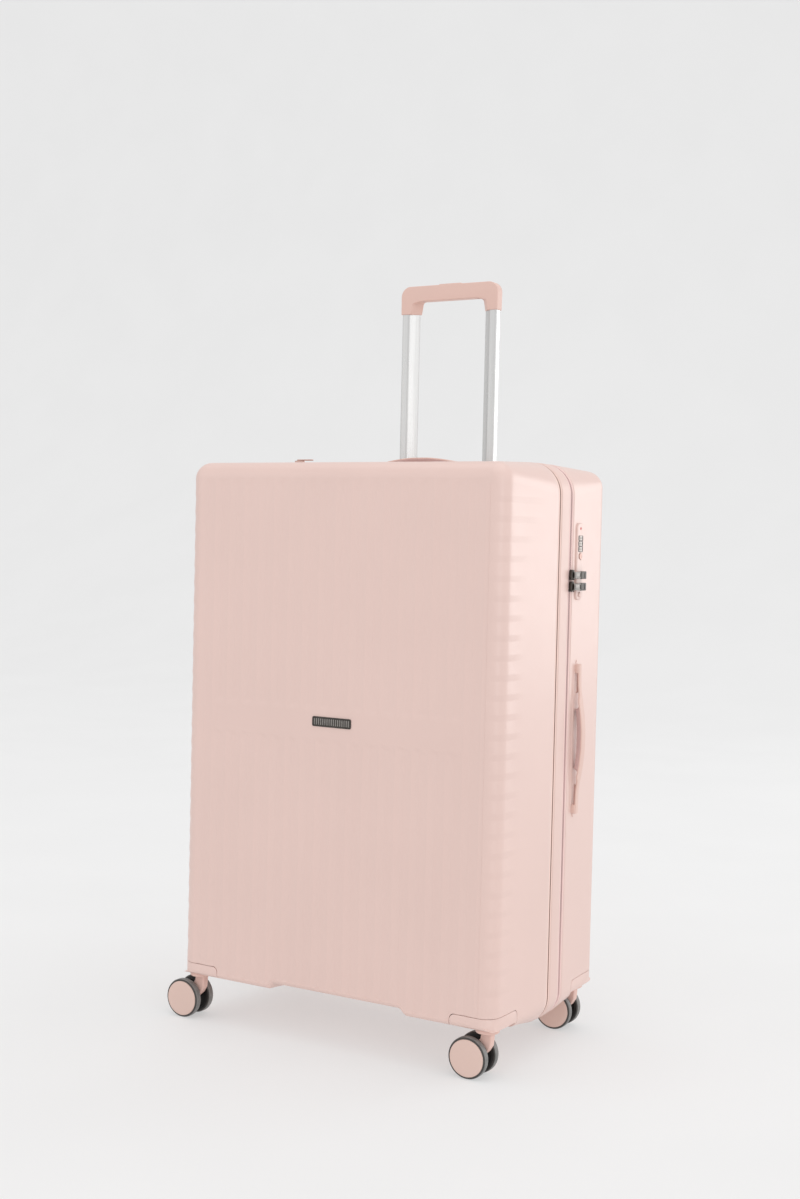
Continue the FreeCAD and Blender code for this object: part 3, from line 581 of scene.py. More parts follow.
def side_relief(y_depth, z):
    """Depth of the level steps that wrap round an upright edge of the front shell."""
    step = zigzag(z - STEP_START, STEP_PITCH, STEP_STEEP)
    reach = 70.0 * smooth(600, 712, z)
    fade = smooth(92 - reach, 126 - 0.45 * reach, y_depth)
    tops = 1 - smooth(STEP_START + 4, STEP_START + 22, z)
    feet = smooth(84, 92, z)
    return STEP_DEPTH * (1 - step) * fade * max(tops, 0.0) * feet


def tube_faces(rings, around, closed=False):
    """Faces between a row of rings with the same number of points, joined end to end if closed."""
    faces = []
    for k in range(rings if closed else rings - 1):
        one, two = around * k, around * ((k + 1) % rings)
        for j in range(around):
            faces.append((one + j, one + (j + 1) % around, two + (j + 1) % around, two + j))
    return faces


def end_caps(rings, around):
    """The two faces that shut an open row of rings."""
    return [tuple(range(around)), tuple(range(around * rings - 1, around * (rings - 1) - 1, -1))]


def sheet_faces(rows, columns, start=0):
    """Faces of a grid of rows by columns cells, counted row by row."""
    width = columns + 1
    corners = [start + i * width + j for i in range(rows) for j in range(columns)]
    return [(a, a + 1, a + width + 1, a + width) for a in corners]


def arch_window(x):
    """1 under the arch in the sole, 0 to either side of it."""
    return smooth(ARCH[0] - 4, ARCH[0] + 4, x) * (1 - smooth(ARCH[1] - 5, ARCH[1] + 5, x))


def case_form(name, side, inset=0.0, ribs=False, past_mouth=0.0):
    """A closed solid with the form of one half of the case, inset from its outer surface."""
    form = Form(side)
    if ribs:
        xs = relief_lines(RIB_START, RIB_PITCH, RIB_STEEP, -RIB_START - 0.5, RIB_START + 0.5, 2)
        zs = relief_lines(STEP_START, STEP_PITCH, STEP_STEEP, 69.5, 733.5, 3)
        extra = [BELT[0] - 6, BELT[0] - 3, BELT[0], BELT[1], BELT[1] + 3, BELT[1] + 6]
        zs = sorted(set(zs + [z for z in extra if all(abs(z - other) > 0.6 for other in zs)]))
    else:
        xs = list(np.linspace(-RIB_START - 0.5, RIB_START + 0.5, 41))
        zs = list(np.linspace(69.5, 733.5, 61))
    steps = 9
    still_x, still_z = 178.0, (92.0, 714.0)
    x_end, z_low, z_high = xs[-1], zs[0], zs[-1]

    def stretched(value, still, old_end, new_end):
        """Moves only what lies outside the still zone."""
        if abs(value) <= abs(still) or (value - still) * (old_end - still) <= 0:
            return value
        return still + (value - still) * (new_end - still) / (old_end - still)

    lip = 1.8
    rows = []
    if not past_mouth and inset == 0:
        for k in range(5):
            turn = math.radians(22.5 * k)
            rows.append(("lip", lip * (1 - math.sin(turn)), lip * (1 - math.cos(turn))))
    depth_rows = 16 if ribs else 8
    start = lip if (not past_mouth and inset == 0) else -past_mouth
    for k in range(1 if rows else 0, depth_rows + 1):
        rows.append(("wall", start, k / depth_rows))
    fillet_rows = 9 if ribs else 6
    for k in range(1, fillet_rows + 1):
        rows.append(("edge", math.radians(90 * k / fillet_rows), 0))

    def ring(row):
        kind, one, two = row
        big, small = EDGE_ROUND - inset, SOLE_ROUND[side] - 0.5 * inset
        if kind == "lip":
            depth_side = depth_foot = form.mouth + two
            q_side = q_foot = one
        elif kind == "wall":
            first = form.mouth + one
            depth_side = first + (FACE_Y - inset - big - first) * two
            depth_foot = first + (FACE_Y - inset - small - first) * two
            q_side = q_foot = 0.0
        else:
            depth_side = FACE_Y - inset - big * (1 - math.sin(one))
            depth_foot = FACE_Y - inset - small * (1 - math.sin(one))
            q_side = big * (1 - math.cos(one))
            q_foot = small * (1 - math.cos(one))
        points = []

        def section_at(depth):
            s = form.section(max(depth, form.mouth))
            return (
                s["wide"] - inset - q_side,
                s["bottom"] + inset + q_foot,
                s["top"] - inset - q_side,
                max(s["top_round"] - inset - q_side, 0.4),
                max(s["foot_round"] - inset - q_side, 0.4),
            )

        def add(x, z, depth):
            points.append((x, side * depth, z))

        wide, bottom, top, top_round, foot_round = section_at(depth_side)
        arch_on = smooth(50, 130, depth_foot) if inset < 5 else 0.0
        for x in xs:
            end = wide - top_round
            add(
                stretched(x, math.copysign(still_x, x), math.copysign(x_end, x), math.copysign(end, x)),
                top,
                depth_side,
            )
        for k in range(1, steps):
            turn = math.radians(90 - 90 * k / steps)
            add(
                wide - top_round + top_round * math.cos(turn),
                top - top_round + top_round * math.sin(turn),
                depth_side,
            )
        down = []
        for z in reversed(zs):
            at = z
            if z > still_z[1]:
                at = still_z[1] + (z - still_z[1]) * (top - top_round - still_z[1]) / (z_high - still_z[1])
            elif z < still_z[0]:
                at = still_z[0] + (z - still_z[0]) * (bottom + foot_round - still_z[0]) / (z_low - still_z[0])
            down.append(at)
            add(wide, at, depth_side)
        wide_f, bottom_f, _, _, foot_f = section_at(depth_foot)
        corner = []
        for k in range(1, steps):
            turn = math.radians(90 * k / steps)
            share = math.sin(turn) ** 2
            depth = depth_side + (depth_foot - depth_side) * share
            w, b, _, _, r = section_at(depth)
            corner.append((w - r + r * math.cos(turn), b + r - r * math.sin(turn), depth))
        points += [(x, side * d, z) for x, z, d in corner]
        for x in reversed(xs):
            end = wide_f - foot_f
            at = stretched(x, math.copysign(still_x, x), math.copysign(x_end, x), math.copysign(end, x))
            add(at, bottom_f + ARCH_RISE * arch_window(at) * arch_on, depth_foot)
        points += [(-x, side * d, z) for x, z, d in reversed(corner)]
        for z in reversed(down):
            add(-wide, z, depth_side)
        for k in range(steps - 1, 0, -1):
            turn = math.radians(90 - 90 * k / steps)
            add(
                -wide + top_round - top_round * math.cos(turn),
                top - top_round + top_round * math.sin(turn),
                depth_side,
            )
        return points

    rings = np.array([ring(row) for row in rows], float)
    count = rings.shape[1]
    kinds = [row[0] for row in rows]
    if ribs:
        normals = ring_normals(rings)
        for r, kind in enumerate(kinds):
            if kind == "lip":
                continue
            for c in range(count):
                x, y, z = rings[r, c]
                if abs(x) > FLANK_X and FLANK_Z[0] < z < FLANK_Z[1] and side < 0:
                    off = side_relief(abs(y), z)
                    if kind == "edge":
                        off *= 1 - smooth(55, 88, math.degrees(rows[r][1]))
                    rings[r, c] -= normals[r, c] * off
    vertices = rings.reshape(-1, 3).tolist()
    faces = []
    last = len(rows) - 1
    for r in range(last):
        for c in range(count):
            n = (c + 1) % count
            faces.append((r * count + c, r * count + n, (r + 1) * count + n, (r + 1) * count + c))
    faces.append(tuple(range(count)))
    nx, nz = len(xs), len(zs)
    face_at = side * (FACE_Y - inset)
    grid = {}
    for j, z in enumerate(zs):
        for i, x in enumerate(xs):
            height = z
            if z < SOLE_BLEND:
                height += (
                    ARCH_RISE if inset < 5 else 0
                ) * arch_window(x) * (SOLE_BLEND - z) / (SOLE_BLEND - z_low)
            off = front_relief(x, z) if ribs else 0.0
            grid[i, j] = len(vertices)
            vertices.append((x, face_at - side * off, height))
    for j in range(nz - 1):
        for i in range(nx - 1):
            faces.append((grid[i, j], grid[i + 1, j], grid[i + 1, j + 1], grid[i, j + 1]))
    base = last * count
    top_row = [base + k for k in range(nx)]
    right = [base + nx + steps - 1 + k for k in range(nz)]
    low_row = [base + nx + nz + 2 * (steps - 1) + k for k in range(nx)]
    left = [base + 2 * nx + nz + 3 * (steps - 1) + k for k in range(nz)]
    for k in range(nx - 1):
        faces.append((top_row[k], top_row[k + 1], grid[k + 1, nz - 1], grid[k, nz - 1]))
        faces.append((low_row[k], low_row[k + 1], grid[nx - 2 - k, 0], grid[nx - 1 - k, 0]))
    for k in range(nz - 1):
        faces.append((right[k], right[k + 1], grid[nx - 1, nz - 2 - k], grid[nx - 1, nz - 1 - k]))
        faces.append((left[k], left[k + 1], grid[0, k + 1], grid[0, k]))
    fans = (
        (top_row[-1], right[0], grid[nx - 1, nz - 1]),
        (right[-1], low_row[0], grid[nx - 1, 0]),
        (low_row[-1], left[0], grid[0, 0]),
        (left[-1], base + count, grid[0, nz - 1]),
    )
    for first, final, hub in fans:
        for k in range(first, final):
            faces.append((k, base + (k + 1 - base) % count, hub))
    made = to_object(name, vertices, faces)
    outward(made)
    shade(made, 40)
    return made


def ring_normals(rings):
    """Outward normals of a stack of closed rings."""
    along = np.roll(rings, -1, axis=1) - np.roll(rings, 1, axis=1)
    deeper = np.empty_like(rings)
    deeper[1:-1] = rings[2:] - rings[:-2]
    deeper[0] = rings[1] - rings[0]
    deeper[-1] = rings[-1] - rings[-2]
    normals = np.cross(along, deeper)
    length = np.linalg.norm(normals, axis=2, keepdims=True)
    normals /= np.maximum(length, 1e-9)
    middle = np.array([0.0, 0.0, 400.0])
    away = rings - middle
    flip = np.sign(np.sum(normals * away, axis=2, keepdims=True))
    return normals * np.where(flip == 0, 1, flip)


def case_body(side):
    """The body that a half of the case belongs to: -1 is the front half, 1 the back."""
    return "front_case" if side < 0 else "back_case"


def guard_cutter(name, side, right, gap):
    """The space of one corner housing: a block whose two upper inner edges are rounded."""
    low_x, far = GUARD_X + gap, 320
    y0, y1 = side * (GUARD_Y[side] + gap), side * 220
    x0, x1 = (low_x, far) if right > 0 else (-far, -low_x)
    made = block(name, (x0, min(y0, y1), -20), (x1, max(y0, y1), GUARD_TOP - gap))
    mesh = bmesh.new()
    mesh.from_mesh(made.data)
    top = (GUARD_TOP - gap) * MM
    chosen = []
    for edge in mesh.edges:
        ends = [v.co for v in edge.verts]
        if all(abs(e.z - top) < 1e-6 for e in ends):
            on_x = all(abs(abs(e.x) - low_x * MM) < 1e-6 for e in ends)
            on_y = all(abs(e.y - y0 * MM) < 1e-6 for e in ends)
            if on_x or on_y:
                chosen.append(edge)
    bmesh.ops.bevel(mesh, geom=chosen, offset=7 * MM, segments=6, affect="EDGES", profile=0.5)
    mesh.to_mesh(made.data)
    mesh.free()
    return outward(made)


def wheel_housings(side):
    """Two corner housings: a skirt that continues the shell, a floor, and a bearing boss."""
    end = "front" if side < 0 else "rear"
    swivel_y = 0.5 * (span(f"{end}_kingpins")[0].y + span(f"{end}_kingpins")[1].y)
    swivel_x = span(f"{end}_kingpins")[1].x - 3.5
    made = []
    for right in (1, -1):
        piece = case_form(f"{end}_guard_{right}", side)
        boolean(piece, guard_cutter("space", side, right, 0.35), "INTERSECT")
        under = sorted((side * (GUARD_Y[side] + 3), side * 230))
        xs = sorted((right * (GUARD_X + 3), right * 330))
        boolean(piece, block("under", (xs[0], under[0], -30), (xs[1], under[1], GUARD_BOTTOM)))
        race = [(0, GUARD_BOTTOM - 5), (11, GUARD_BOTTOM - 5), (11, GUARD_BOTTOM + 5), (0, GUARD_BOTTOM + 5)]
        boolean(piece, lathe("race", race, "z", (right * swivel_x, swivel_y, 0), 48))
        boss = [(0, 70), (14, 70), (14, 87.2), (12.8, 88.4), (0, 88.4)]
        boolean(piece, lathe("boss", boss, "z", (right * swivel_x, swivel_y, 0), 48), "UNION")
        bevelled(piece, 0.7, 2, 40)
        made.append(piece)
    whole = joined(f"{end}_corner_housings", *made)
    finish_piece(whole, SHELL, "shell", case_body(side), f"{end}_wheel_housings")


def shell_piece(side):
    """A ribbed shell with its wall, its rolled rim and the corners left for the housings."""
    end = "front" if side < 0 else "back"
    made = case_form(f"{end}_ribbed_shell", side, ribs=True)
    boolean(made, case_form("hollow", side, inset=WALL, past_mouth=6))
    for right in (1, -1):
        boolean(made, guard_cutter("space", side, right, -0.35))
    if side > 0:
        low, high = span("trolley_bezel")
        well = block("well", (-82.5, low.y - 0.5, low.z - 1), (82.5, high.y - 5.2, 800))
        boolean(made, well)
    shade(made, 32)
    finish_piece(made, SHELL, "shell", case_body(side), f"{end}_shell")


# ---------------------------------------------------------------- rim, zips and gusset


def rim_path(inset, spacing=18.0, arc_steps=14):
    """The rim's outline: (x, z, outward x, outward z), the way a clock turns seen from the front."""
    w, b, t = HALF_WIDTH - inset, RIM_BOTTOM + inset, RIM_TOP - inset
    rt, rb = RIM_TOP_ROUND - inset, RIM_FOOT_ROUND - inset
    path = []

    def straight(start, end, normal):
        n = max(2, round(math.dist(start, end) / spacing))
        for k in range(1, n):
            path.append((*(s + (e - s) * k / n for s, e in zip(start, end)), *normal))

    def arc(centre, radius, first):
        for k in range(arc_steps + 1):
            turn = math.radians(first - 90 * k / arc_steps)
            nx, nz = math.cos(turn), math.sin(turn)
            path.append((centre[0] + radius * nx, centre[1] + radius * nz, nx, nz))

    arc((w - rt, t - rt), rt, 90)
    straight((w, t - rt), (w, b + rb), (1, 0))
    arc((w - rb, b + rb), rb, 0)
    straight((w - rb, b), (-w + rb, b), (0, -1))
    arc((-w + rb, b + rb), rb, -90)
    straight((-w, b + rb), (-w, t - rt), (-1, 0))
    arc((-w + rt, t - rt), rt, 180)
    straight((-w + rt, t), (w - rt, t), (0, 1))
    return path


def rim_sweep(name, profile, spacing=18.0):
    """A closed (y, inset) profile carried round the rim."""
    path = rim_path(0, spacing)
    n, m = len(path), len(profile)
    points = [(x - nx * inset, y, z - nz * inset) for x, z, nx, nz in path for y, inset in profile]
    made = to_object(name, points, tube_faces(n, m, closed=True))
    outward(made)
    shade(made, 40)
    return made


def rim_band():
    """The stiff band between the two zips, with rolled edges."""
    low, high, deep, roll = BAND_FRONT, BAND_BACK, 2.8, 1.8
    turns = [math.radians(15 * k) for k in range(7)]
    profile = [(low + roll * (1 - math.cos(a)), roll * (1 - math.sin(a))) for a in turns]
    profile += [(high + low - y, inset) for y, inset in reversed(profile)]
    profile += [(high, deep), (low, deep)]
    made = rim_sweep("rim_band_moulding", profile)
    finish_piece(made, BAND, "shell", "rim_frame", "rim_band")


# on the hinge side the main zip has no coil between these heights
COIL_STOP = (118.0, 682.0)


def zip_half(name, low, high, edge, material, coil_material, body, node, teeth_all_round):
    """Half a zip: its woven tape, a folded edge, and the nylon coil along the joining edge."""
    step = 1 if edge > 0.5 * (low + high) else -1
    near = low if step > 0 else high
    stop = edge - step * (1.3 if teeth_all_round else 2.3)
    profile = [
        (near, 0.75),
        (near + step * 0.6, 0.6),
        (stop - step * 0.5, 0.6),
        (stop, 0.9),
        (stop, 3.0),
        (near, 3.0),
    ]
    tape = rim_sweep(f"{name}_tape", profile)
    coat(tape, material)
    finish_piece(tape, None, "zip_tape", body, node)
    pitch, half = 2.3, 0.72
    path = rim_path(1.2, 1.0, 60)
    xs = np.array([(p[0], p[1]) for p in path])
    along = np.concatenate([[0], np.cumsum(np.linalg.norm(np.diff(np.vstack([xs, xs[:1]]), axis=0), axis=1))])
    total = along[-1]
    count = int(total / pitch)
    points, faces = [], []
    closed = np.vstack([xs, xs[:1]])
    normals = np.array([(p[2], p[3]) for p in path] + [(path[0][2], path[0][3])])
    phase = 0.0 if step > 0 else 0.5
    for k in range(count):
        at = (k + phase) * total / count
        x, z = np.interp(at, along, closed[:, 0]), np.interp(at, along, closed[:, 1])
        nx, nz = np.interp(at, along, normals[:, 0]), np.interp(at, along, normals[:, 1])
        if not teeth_all_round and x < -HALF_WIDTH + 6 and COIL_STOP[0] < z < COIL_STOP[1]:
            continue
        tx, tz = nz, -nx
        first = len(points)
        for y, swell in ((stop - step * 0.5, 0.7), (stop + step * 0.7, 1.0), (edge + step * 0.15, 0.85)):
            for turn in range(6):
                a = math.radians(60 * turn)
                u, v = half * swell * math.cos(a), 0.62 * swell * math.sin(a)
                points.append((x + tx * u + nx * v, y, z + tz * u + nz * v))
        for ring in (0, 6):
            for turn in range(6):
                nxt = (turn + 1) % 6
                faces.append(
                    (first + ring + turn, first + ring + nxt, first + ring + 6 + nxt, first + ring + 6 + turn)
                )
        faces.append(tuple(first + turn for turn in range(6)))
        faces.append(tuple(first + 12 + turn for turn in range(5, -1, -1)))
    coil = to_object(f"{name}_coil", points, faces)
    outward(coil)
    shade(coil, 50)
    finish_piece(coil, coil_material, "zip_tape", body)


def zips():
    """Both zips: each has two tapes with coils that meet, and the main one a dark piped edge."""
    halves = (
        (
            "expander_front", -FRONT_MOUTH, EXPANDER_Y, -1, TAPE_PINK, EXPANDER_COIL_SHADE, "front_case",
            "expansion_zip_front",
        ),
        ("expander_rear", EXPANDER_Y, BAND_FRONT, 1, TAPE_PINK, EXPANDER_COIL_SHADE, "rim_frame", "expansion_zip_rear"),
        ("main_front", BAND_BACK, MAIN_ZIP_Y, -1, TAPE, COIL, "rim_frame", "main_zip_front"),
        ("main_rear", MAIN_ZIP_Y, BACK_MOUTH, 1, TAPE, COIL, "back_case", "main_zip_rear"),
    )
    for name, low, high, way, tape, coil, body, node in halves:
        edge = (high if way < 0 else low) + 0.15 * way
        zip_half(name, low, high, edge, tape, coil, body, node, name.startswith("expander"))
    piping = rim_tube("main_zip_piping", BACK_MOUTH - 0.75, 1.15, 0.55, 18.0)
    finish_piece(piping, PIPING, "zip_tape", "back_case")


def gusset():
    """The cloth that joins the front shell to the rim band, folded away behind the expansion zip."""
    folds = 4
    low, high = -FRONT_MOUTH + 0.3, BAND_FRONT + 5.0
    outer, inner = [], []
    steps = folds * 4
    for k in range(steps + 1):
        y = low + (high - low) * k / steps
        sway = 0.5 - 0.5 * math.cos(2 * math.pi * folds * k / steps)
        outer.append((y, 3.9 + FOLD_DEPTH * sway))
        inner.append((y, 4.4 + FOLD_DEPTH * sway))
    made = rim_sweep("expansion_gusset_cloth", outer + inner[::-1], 30.0)
    coat(made, GUSSET)
    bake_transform(made)
    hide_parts("expansion_gusset")
    spots = [spot[:2] for spot in rim_path(4, 30.0)]
    return made


def hinge_cloth():
    """The strip of tape on which the case folds open."""
    low, high = span("hinge_tape")
    rows, columns = 40, 16
    points, faces = [], []
    for layer in (0, 1):
        for i in range(rows + 1):
            z = low.z + (high.z - low.z) * i / rows
            for j in range(columns + 1):
                y = low.y + (high.y - low.y) * j / columns
                x = low.x + 0.25 + 0.12 * math.sin(z * 0.11 + y * 0.3) + 0.5 * layer
                points.append((x, y, z))
    width = columns + 1
    size = (rows + 1) * width
    for i in range(rows):
        for j in range(columns):
            a = i * width + j
            faces.append((a, a + 1, a + width + 1, a + width))
            faces.append((size + a, size + a + width, size + a + width + 1, size + a + 1))
    border = list(range(width)) + [i * width + columns for i in range(1, rows + 1)]
    border += [
        rows * width + j for j in range(columns - 1, -1, -1)
    ] + [i * width for i in range(rows - 1, 0, -1)]
    for k, a in enumerate(border):
        b = border[(k + 1) % len(border)]
        faces.append((a, b, size + b, size + a))
    made = outward(to_object("hinge_tape_cloth", points, faces))
    shade(made, 60)
    coat(made, TAPE)
    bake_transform(made)
    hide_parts("hinge_tape")
    return made


# ---------------------------------------------------------------- inside


def lining_piece(side):
    """The moulded cloth lining of one half, open where the housings, lock and handles reach in."""
    end = "front" if side < 0 else "back"
    made = case_form(f"{end}_cloth_lining", side, inset=3.4, past_mouth=0.0)
    inner = case_form("lining_hollow", side, inset=4.2, past_mouth=6)
    if side > 0:
        high = span("back_lining")[1]
        boolean(made, block("lining_depth", (-400, -50, -50), (400, high.y, 900)), "INTERSECT")
        boolean(inner, block("hollow_depth", (-400, -50, -50), (400, high.y - 0.8, 900)), "INTERSECT")
    boolean(made, inner)
    room = 20.0
    for right in (1, -1):
        xs = sorted((right * (GUARD_X - room), right * 330))
        ys = sorted((side * (GUARD_Y[side] - room), side * 230))
        boolean(made, block("corner_room", (xs[0], ys[0], -30), (xs[1], ys[1], GUARD_TOP + 14)))
    if side > 0:
        rooms = [
            ((-84.6, 116.2, 712), (84.6, 152, 810)),
            ((219, 42, 581), (300, 67, 687)),
        ]
        for leg in (-95, 95):
            rooms.append(((leg - 12, 48, 728), (leg + 12, 72, 800)))
            rooms.append(((200, 45, 402 + leg - 12), (300, 69, 402 + leg + 12)))
        for low_corner, high_corner in rooms:
            boolean(made, block("room", low_corner, high_corner))
    shade(made, 40)
    finish_piece(made, LINING, "lining", case_body(side), f"{end}_lining")
    return made


def rim_tube(name, y, inset, radius, spacing):
    """A round cord carried round the rim at one depth."""
    profile = []
    for k in range(8):
        turn = math.radians(45 * k)
        profile.append((y + radius * math.cos(turn), inset + radius * math.sin(turn)))
    return rim_sweep(name, profile, spacing)


def pocket():
    """The mesh divider across the front half: one net sheet with a bound edge."""
    low, high = span("mesh_pocket")
    y = 0.5 * (low.y + high.y)
    outline = rounded_outline((low.x + 4, low.z + 4), (high.x - 4, high.z - 4), 18, 8)
    columns, rows = 60, 78
    points = []
    x0, x1, z0, z1 = low.x + 4.5, high.x - 4.5, low.z + 4.5, high.z - 4.5
    for i in range(rows + 1):
        v = i / rows
        for j in range(columns + 1):
            u = j / columns
            x, z = x0 + (x1 - x0) * u, z0 + (z1 - z0) * v
            cx, cz = max(abs(x) - (x1 - 18), 0), max(z0 + 18 - z, z - (z1 - 18), 0)
            reach = math.hypot(cx, cz)
            if reach > 18:
                x = math.copysign((x1 - 18) + cx * 18 / reach, x)
                z = (z0 + 18 - cz * 18 / reach) if z < 300 else (z1 - 18 + cz * 18 / reach)
            sag = 0.25 * math.sin(9 * math.pi * u) * math.sin(math.pi * v) ** 2
            points.append((x, y + sag, z))
    net = to_object("mesh_pocket_net", points, sheet_faces(rows, columns))
    finish_piece(net, NET, "mesh", "front_case", "mesh_pocket")
    binding = edge_binding("mesh_pocket_binding", outline, y, 4.0, 0.9)
    finish_piece(binding, WEBBING, "webbing", "front_case")


def edge_binding(name, outline, y, half_width, half_thick):
    """A flat bound edge that follows an outline in the XZ plane."""
    n = len(outline)
    points = []
    for k, (x, z) in enumerate(outline):
        (xa, za), (xb, zb) = outline[k - 1], outline[(k + 1) % n]
        tx, tz = xb - xa, zb - za
        size = math.hypot(tx, tz)
        nx, nz = tz / size, -tx / size
        for a, b in (
            (-1, -0.6), (-0.85, -1), (0.85, -1), (1, -0.6), (1, 0.6), (0.85, 1), (-0.85, 1), (-1, 0.6)
        ):
            points.append(
                (x + nx * half_width * a * 0.98, y + half_thick * b * 0.6, z + nz * half_width * a * 0.98)
            )
    made = outward(to_object(name, points, tube_faces(n, 8, closed=True)))
    shade(made, 50)
    return made


def straps():
    """Two crossed packing straps of webbing, with a moulded clip where they meet."""
    low, high = span("packing_straps")
    mid_z = 0.5 * (low.z + high.z)
    reach_x, reach_z = high.x - 13, 0.5 * (high.z - low.z)
    strips = []
    for slope, y in ((1, 119.55), (-1, 120.2)):
        points = []
        steps = 60
        length = math.hypot(reach_x, reach_z)
        tx, tz = reach_x / length, slope * reach_z / length
        for k in range(steps + 1):
            at = -1 + 2 * k / steps
            wave_off = 0.06 * math.sin(k * 0.9)
            cx, cz = at * reach_x, mid_z + slope * at * reach_z
            for a, b in (
                (-9.2, -0.2), (-8.8, -0.35), (8.8, -0.35), (9.2, -0.2), (9.2, 0.2), (8.8, 0.35),
                (-8.8, 0.35), (-9.2, 0.2),
            ):
                points.append((cx - tz * a, y + b + wave_off * 0.5, cz + tx * a))
        faces = tube_faces(steps + 1, 8) + end_caps(steps + 1, 8)
        strips.append(outward(to_object(f"strap_{slope}", points, faces)))
    webbing = joined("packing_strap_webbing", *strips)
    finish_piece(webbing, WEBBING, "webbing", "back_case", "packing_straps")
    outline = [(-30, 375.5), (30, 375.5), (37.5, 395), (30, 414.5), (-30, 414.5), (-37.5, 395)]
    clip = plate("packing_strap_clip", outline, "y", 114.6, 119.0, 1.4, 4)
    window = rounded_outline((-19, 386), (19, 404), 5)
    boolean(clip, plate("window", window, "y", 113, 116.2))
    tongue = plate("tongue", rounded_outline((-15, 389), (15, 401), 3), "y", 114.9, 117.5, 0.6, 2)
    boolean(clip, tongue, "UNION")
    shade(clip, 40)
    finish_piece(clip, BLACK, "inner_plastic", "back_case")


# ---------------------------------------------------------------- carry handles


def handle_bar(name, rise, end, pad_thick):
    """A carry handle drawn flat: along X, up Z from its shell surface, legs going down into the shell.

    Gives the soft bar and the ribbed pad below its grip.
    """
    half_wide = HANDLE_HALF
    knots = [
        (0, rise), (14, rise - 0.1), (32, rise - 1.8), (47, rise - 4.2), (59, rise - 6.0), (71, end),
        (98, end - 0.4),
    ]
    at_knots, tops = [k[0] for k in knots], [k[1] for k in knots]

    def top_at(far):
        """The bar's upper line, eased between its knots."""
        around = [np.interp(max(0.0, far + step), at_knots, tops) for step in (-5, -2.5, 0, 2.5, 5)]
        return float(np.mean(around))

    stations = []
    steps = 64
    for k in range(steps + 1):
        at = -98 + 196 * k / steps
        far = abs(at)
        ends = smooth(50, 58, far)
        stations.append((at, 1.5 * ends, top_at(far), 2.8, half_wide * (1 - 0.34 * ends)))
    section = 18
    points, faces = [], []
    for at, aside, top, thick, wide in stations:
        for j in range(section):
            turn = 2 * math.pi * j / section
            c, s = math.cos(turn), math.sin(turn)
            u = math.copysign(abs(c) ** 0.5, c) * wide
            v = math.copysign(abs(s) ** 0.7, s) * 0.5 * thick
            points.append((at, aside + u, top - 0.5 * thick + v))
    faces += tube_faces(steps + 1, section) + end_caps(steps + 1, section)
    bar = outward(to_object(name, points, faces))
    shade(bar, 50)
    legs = []
    for sign in (-1, 1):
        xs = sorted((sign * 86.3, sign * 97.7))
        legs.append(block("leg", (xs[0], -4.6, -11.5), (xs[1], 4.6, end - 1.4), 0.8, 2))
        foot = sorted((sign * 86.3, sign * 103.6))
        legs.append(block("foot", (foot[0], -5.6, -24.6), (foot[1], 5.6, -21.7), 1.0, 2))
        legs.append(block("stem", (xs[0], -4.2, -22.5), (xs[1], 4.2, -9)))
    pad_points, pad_faces = [], []
    ribs = 26
    for k in range(ribs * 4 + 1):
        at = -42 + 84 * k / (ribs * 4)
        swell = 0.3 * math.cos(0.5 * math.pi * k)
        edge = 1 - smooth(38, 42, abs(at))
        top = top_at(abs(at))
        low_z = top - 3.4 - (pad_thick + swell) * max(edge, 0.05)
        high_z = top - 1.7
        w = half_wide - 0.15 + 0.3 * swell - 0.6 * (1 - edge)
        mid_z = 0.45 * low_z + 0.55 * high_z
        for u, z in (
            (-w, high_z), (w, high_z), (w, mid_z), (0.74 * w, low_z), (-0.74 * w, low_z), (-w, mid_z)
        ):
            pad_points.append((at, u, z))
    pad_faces += tube_faces(ribs * 4 + 1, 6) + end_caps(ribs * 4 + 1, 6)
    pad = outward(to_object(f"{name}_pad", pad_points, pad_faces))
    shade(pad, 40)
    return joined(name, bar, *legs), pad


def leaf(half_long, half_wide, centre=0.0, count=14):
    """A pointed oval outline, as of the recess that a carry handle lies in."""
    points = []
    for sign in (1, -1):
        for k in range(count):
            at = sign * (half_long - 2 * half_long * k / count)
            share = min(1.0, (1 - abs(at) / half_long) * 3.2)
            points.append((centre + at, sign * half_wide * math.sin(0.5 * math.pi * share) ** 0.75))
    return points


def handle_seat(word):
    """The moulded seat round a carry handle: a raised leaf shaped rim, and dark floors in the slots for its
    ends, painted as the shade inside the slots.
    """
    rim = plate(f"{word}_handle_seat", leaf(103.5, 9.6), "z", -1.4, 1.15, 0.55, 3)
    for sign in (-1, 1):
        slot = rounded_outline((min(sign * 60, sign * 99), -6.4), (max(sign * 60, sign * 99), 6.4), 3.2, 5)
        boolean(rim, plate("slot", slot, "z", -0.6, 5))
    shade(rim, 35)
    floors = []
    for sign in (-1, 1):
        slot = rounded_outline(
            (min(sign * 60.4, sign * 98.6), -6.1), (max(sign * 60.4, sign * 98.6), 6.1), 3.0, 5
        )
        floors.append(plate("floor", slot, "z", -1.0, -0.35, 0.1, 1))
    dark = joined(f"{word}_handle_slots", *floors)
    return rim, dark


def set_on_top(thing):
    """Moves a flat handle part to its place on the top."""
    low, high = span("top_handle_bar")
    thing.data.transform(Matrix.Translation(Vector((0, 0.5 * (low.y + high.y), high.z - TOP_RISE)) * MM))
    return thing


def set_on_side(thing):
    """Turns a flat handle part upright and moves it to its place on the lock side."""
    low, high = span("side_handle_bar")
    turn = Matrix(((0, 0, 1, 0), (0, 1, 0, 0), (-1, 0, 0, 0), (0, 0, 0, 1)))
    at = Vector((high.x - SIDE_RISE, 0.5 * (low.y + high.y), 0.5 * (low.z + high.z))) * MM
    thing.data.transform(Matrix.Translation(at) @ turn)
    return thing


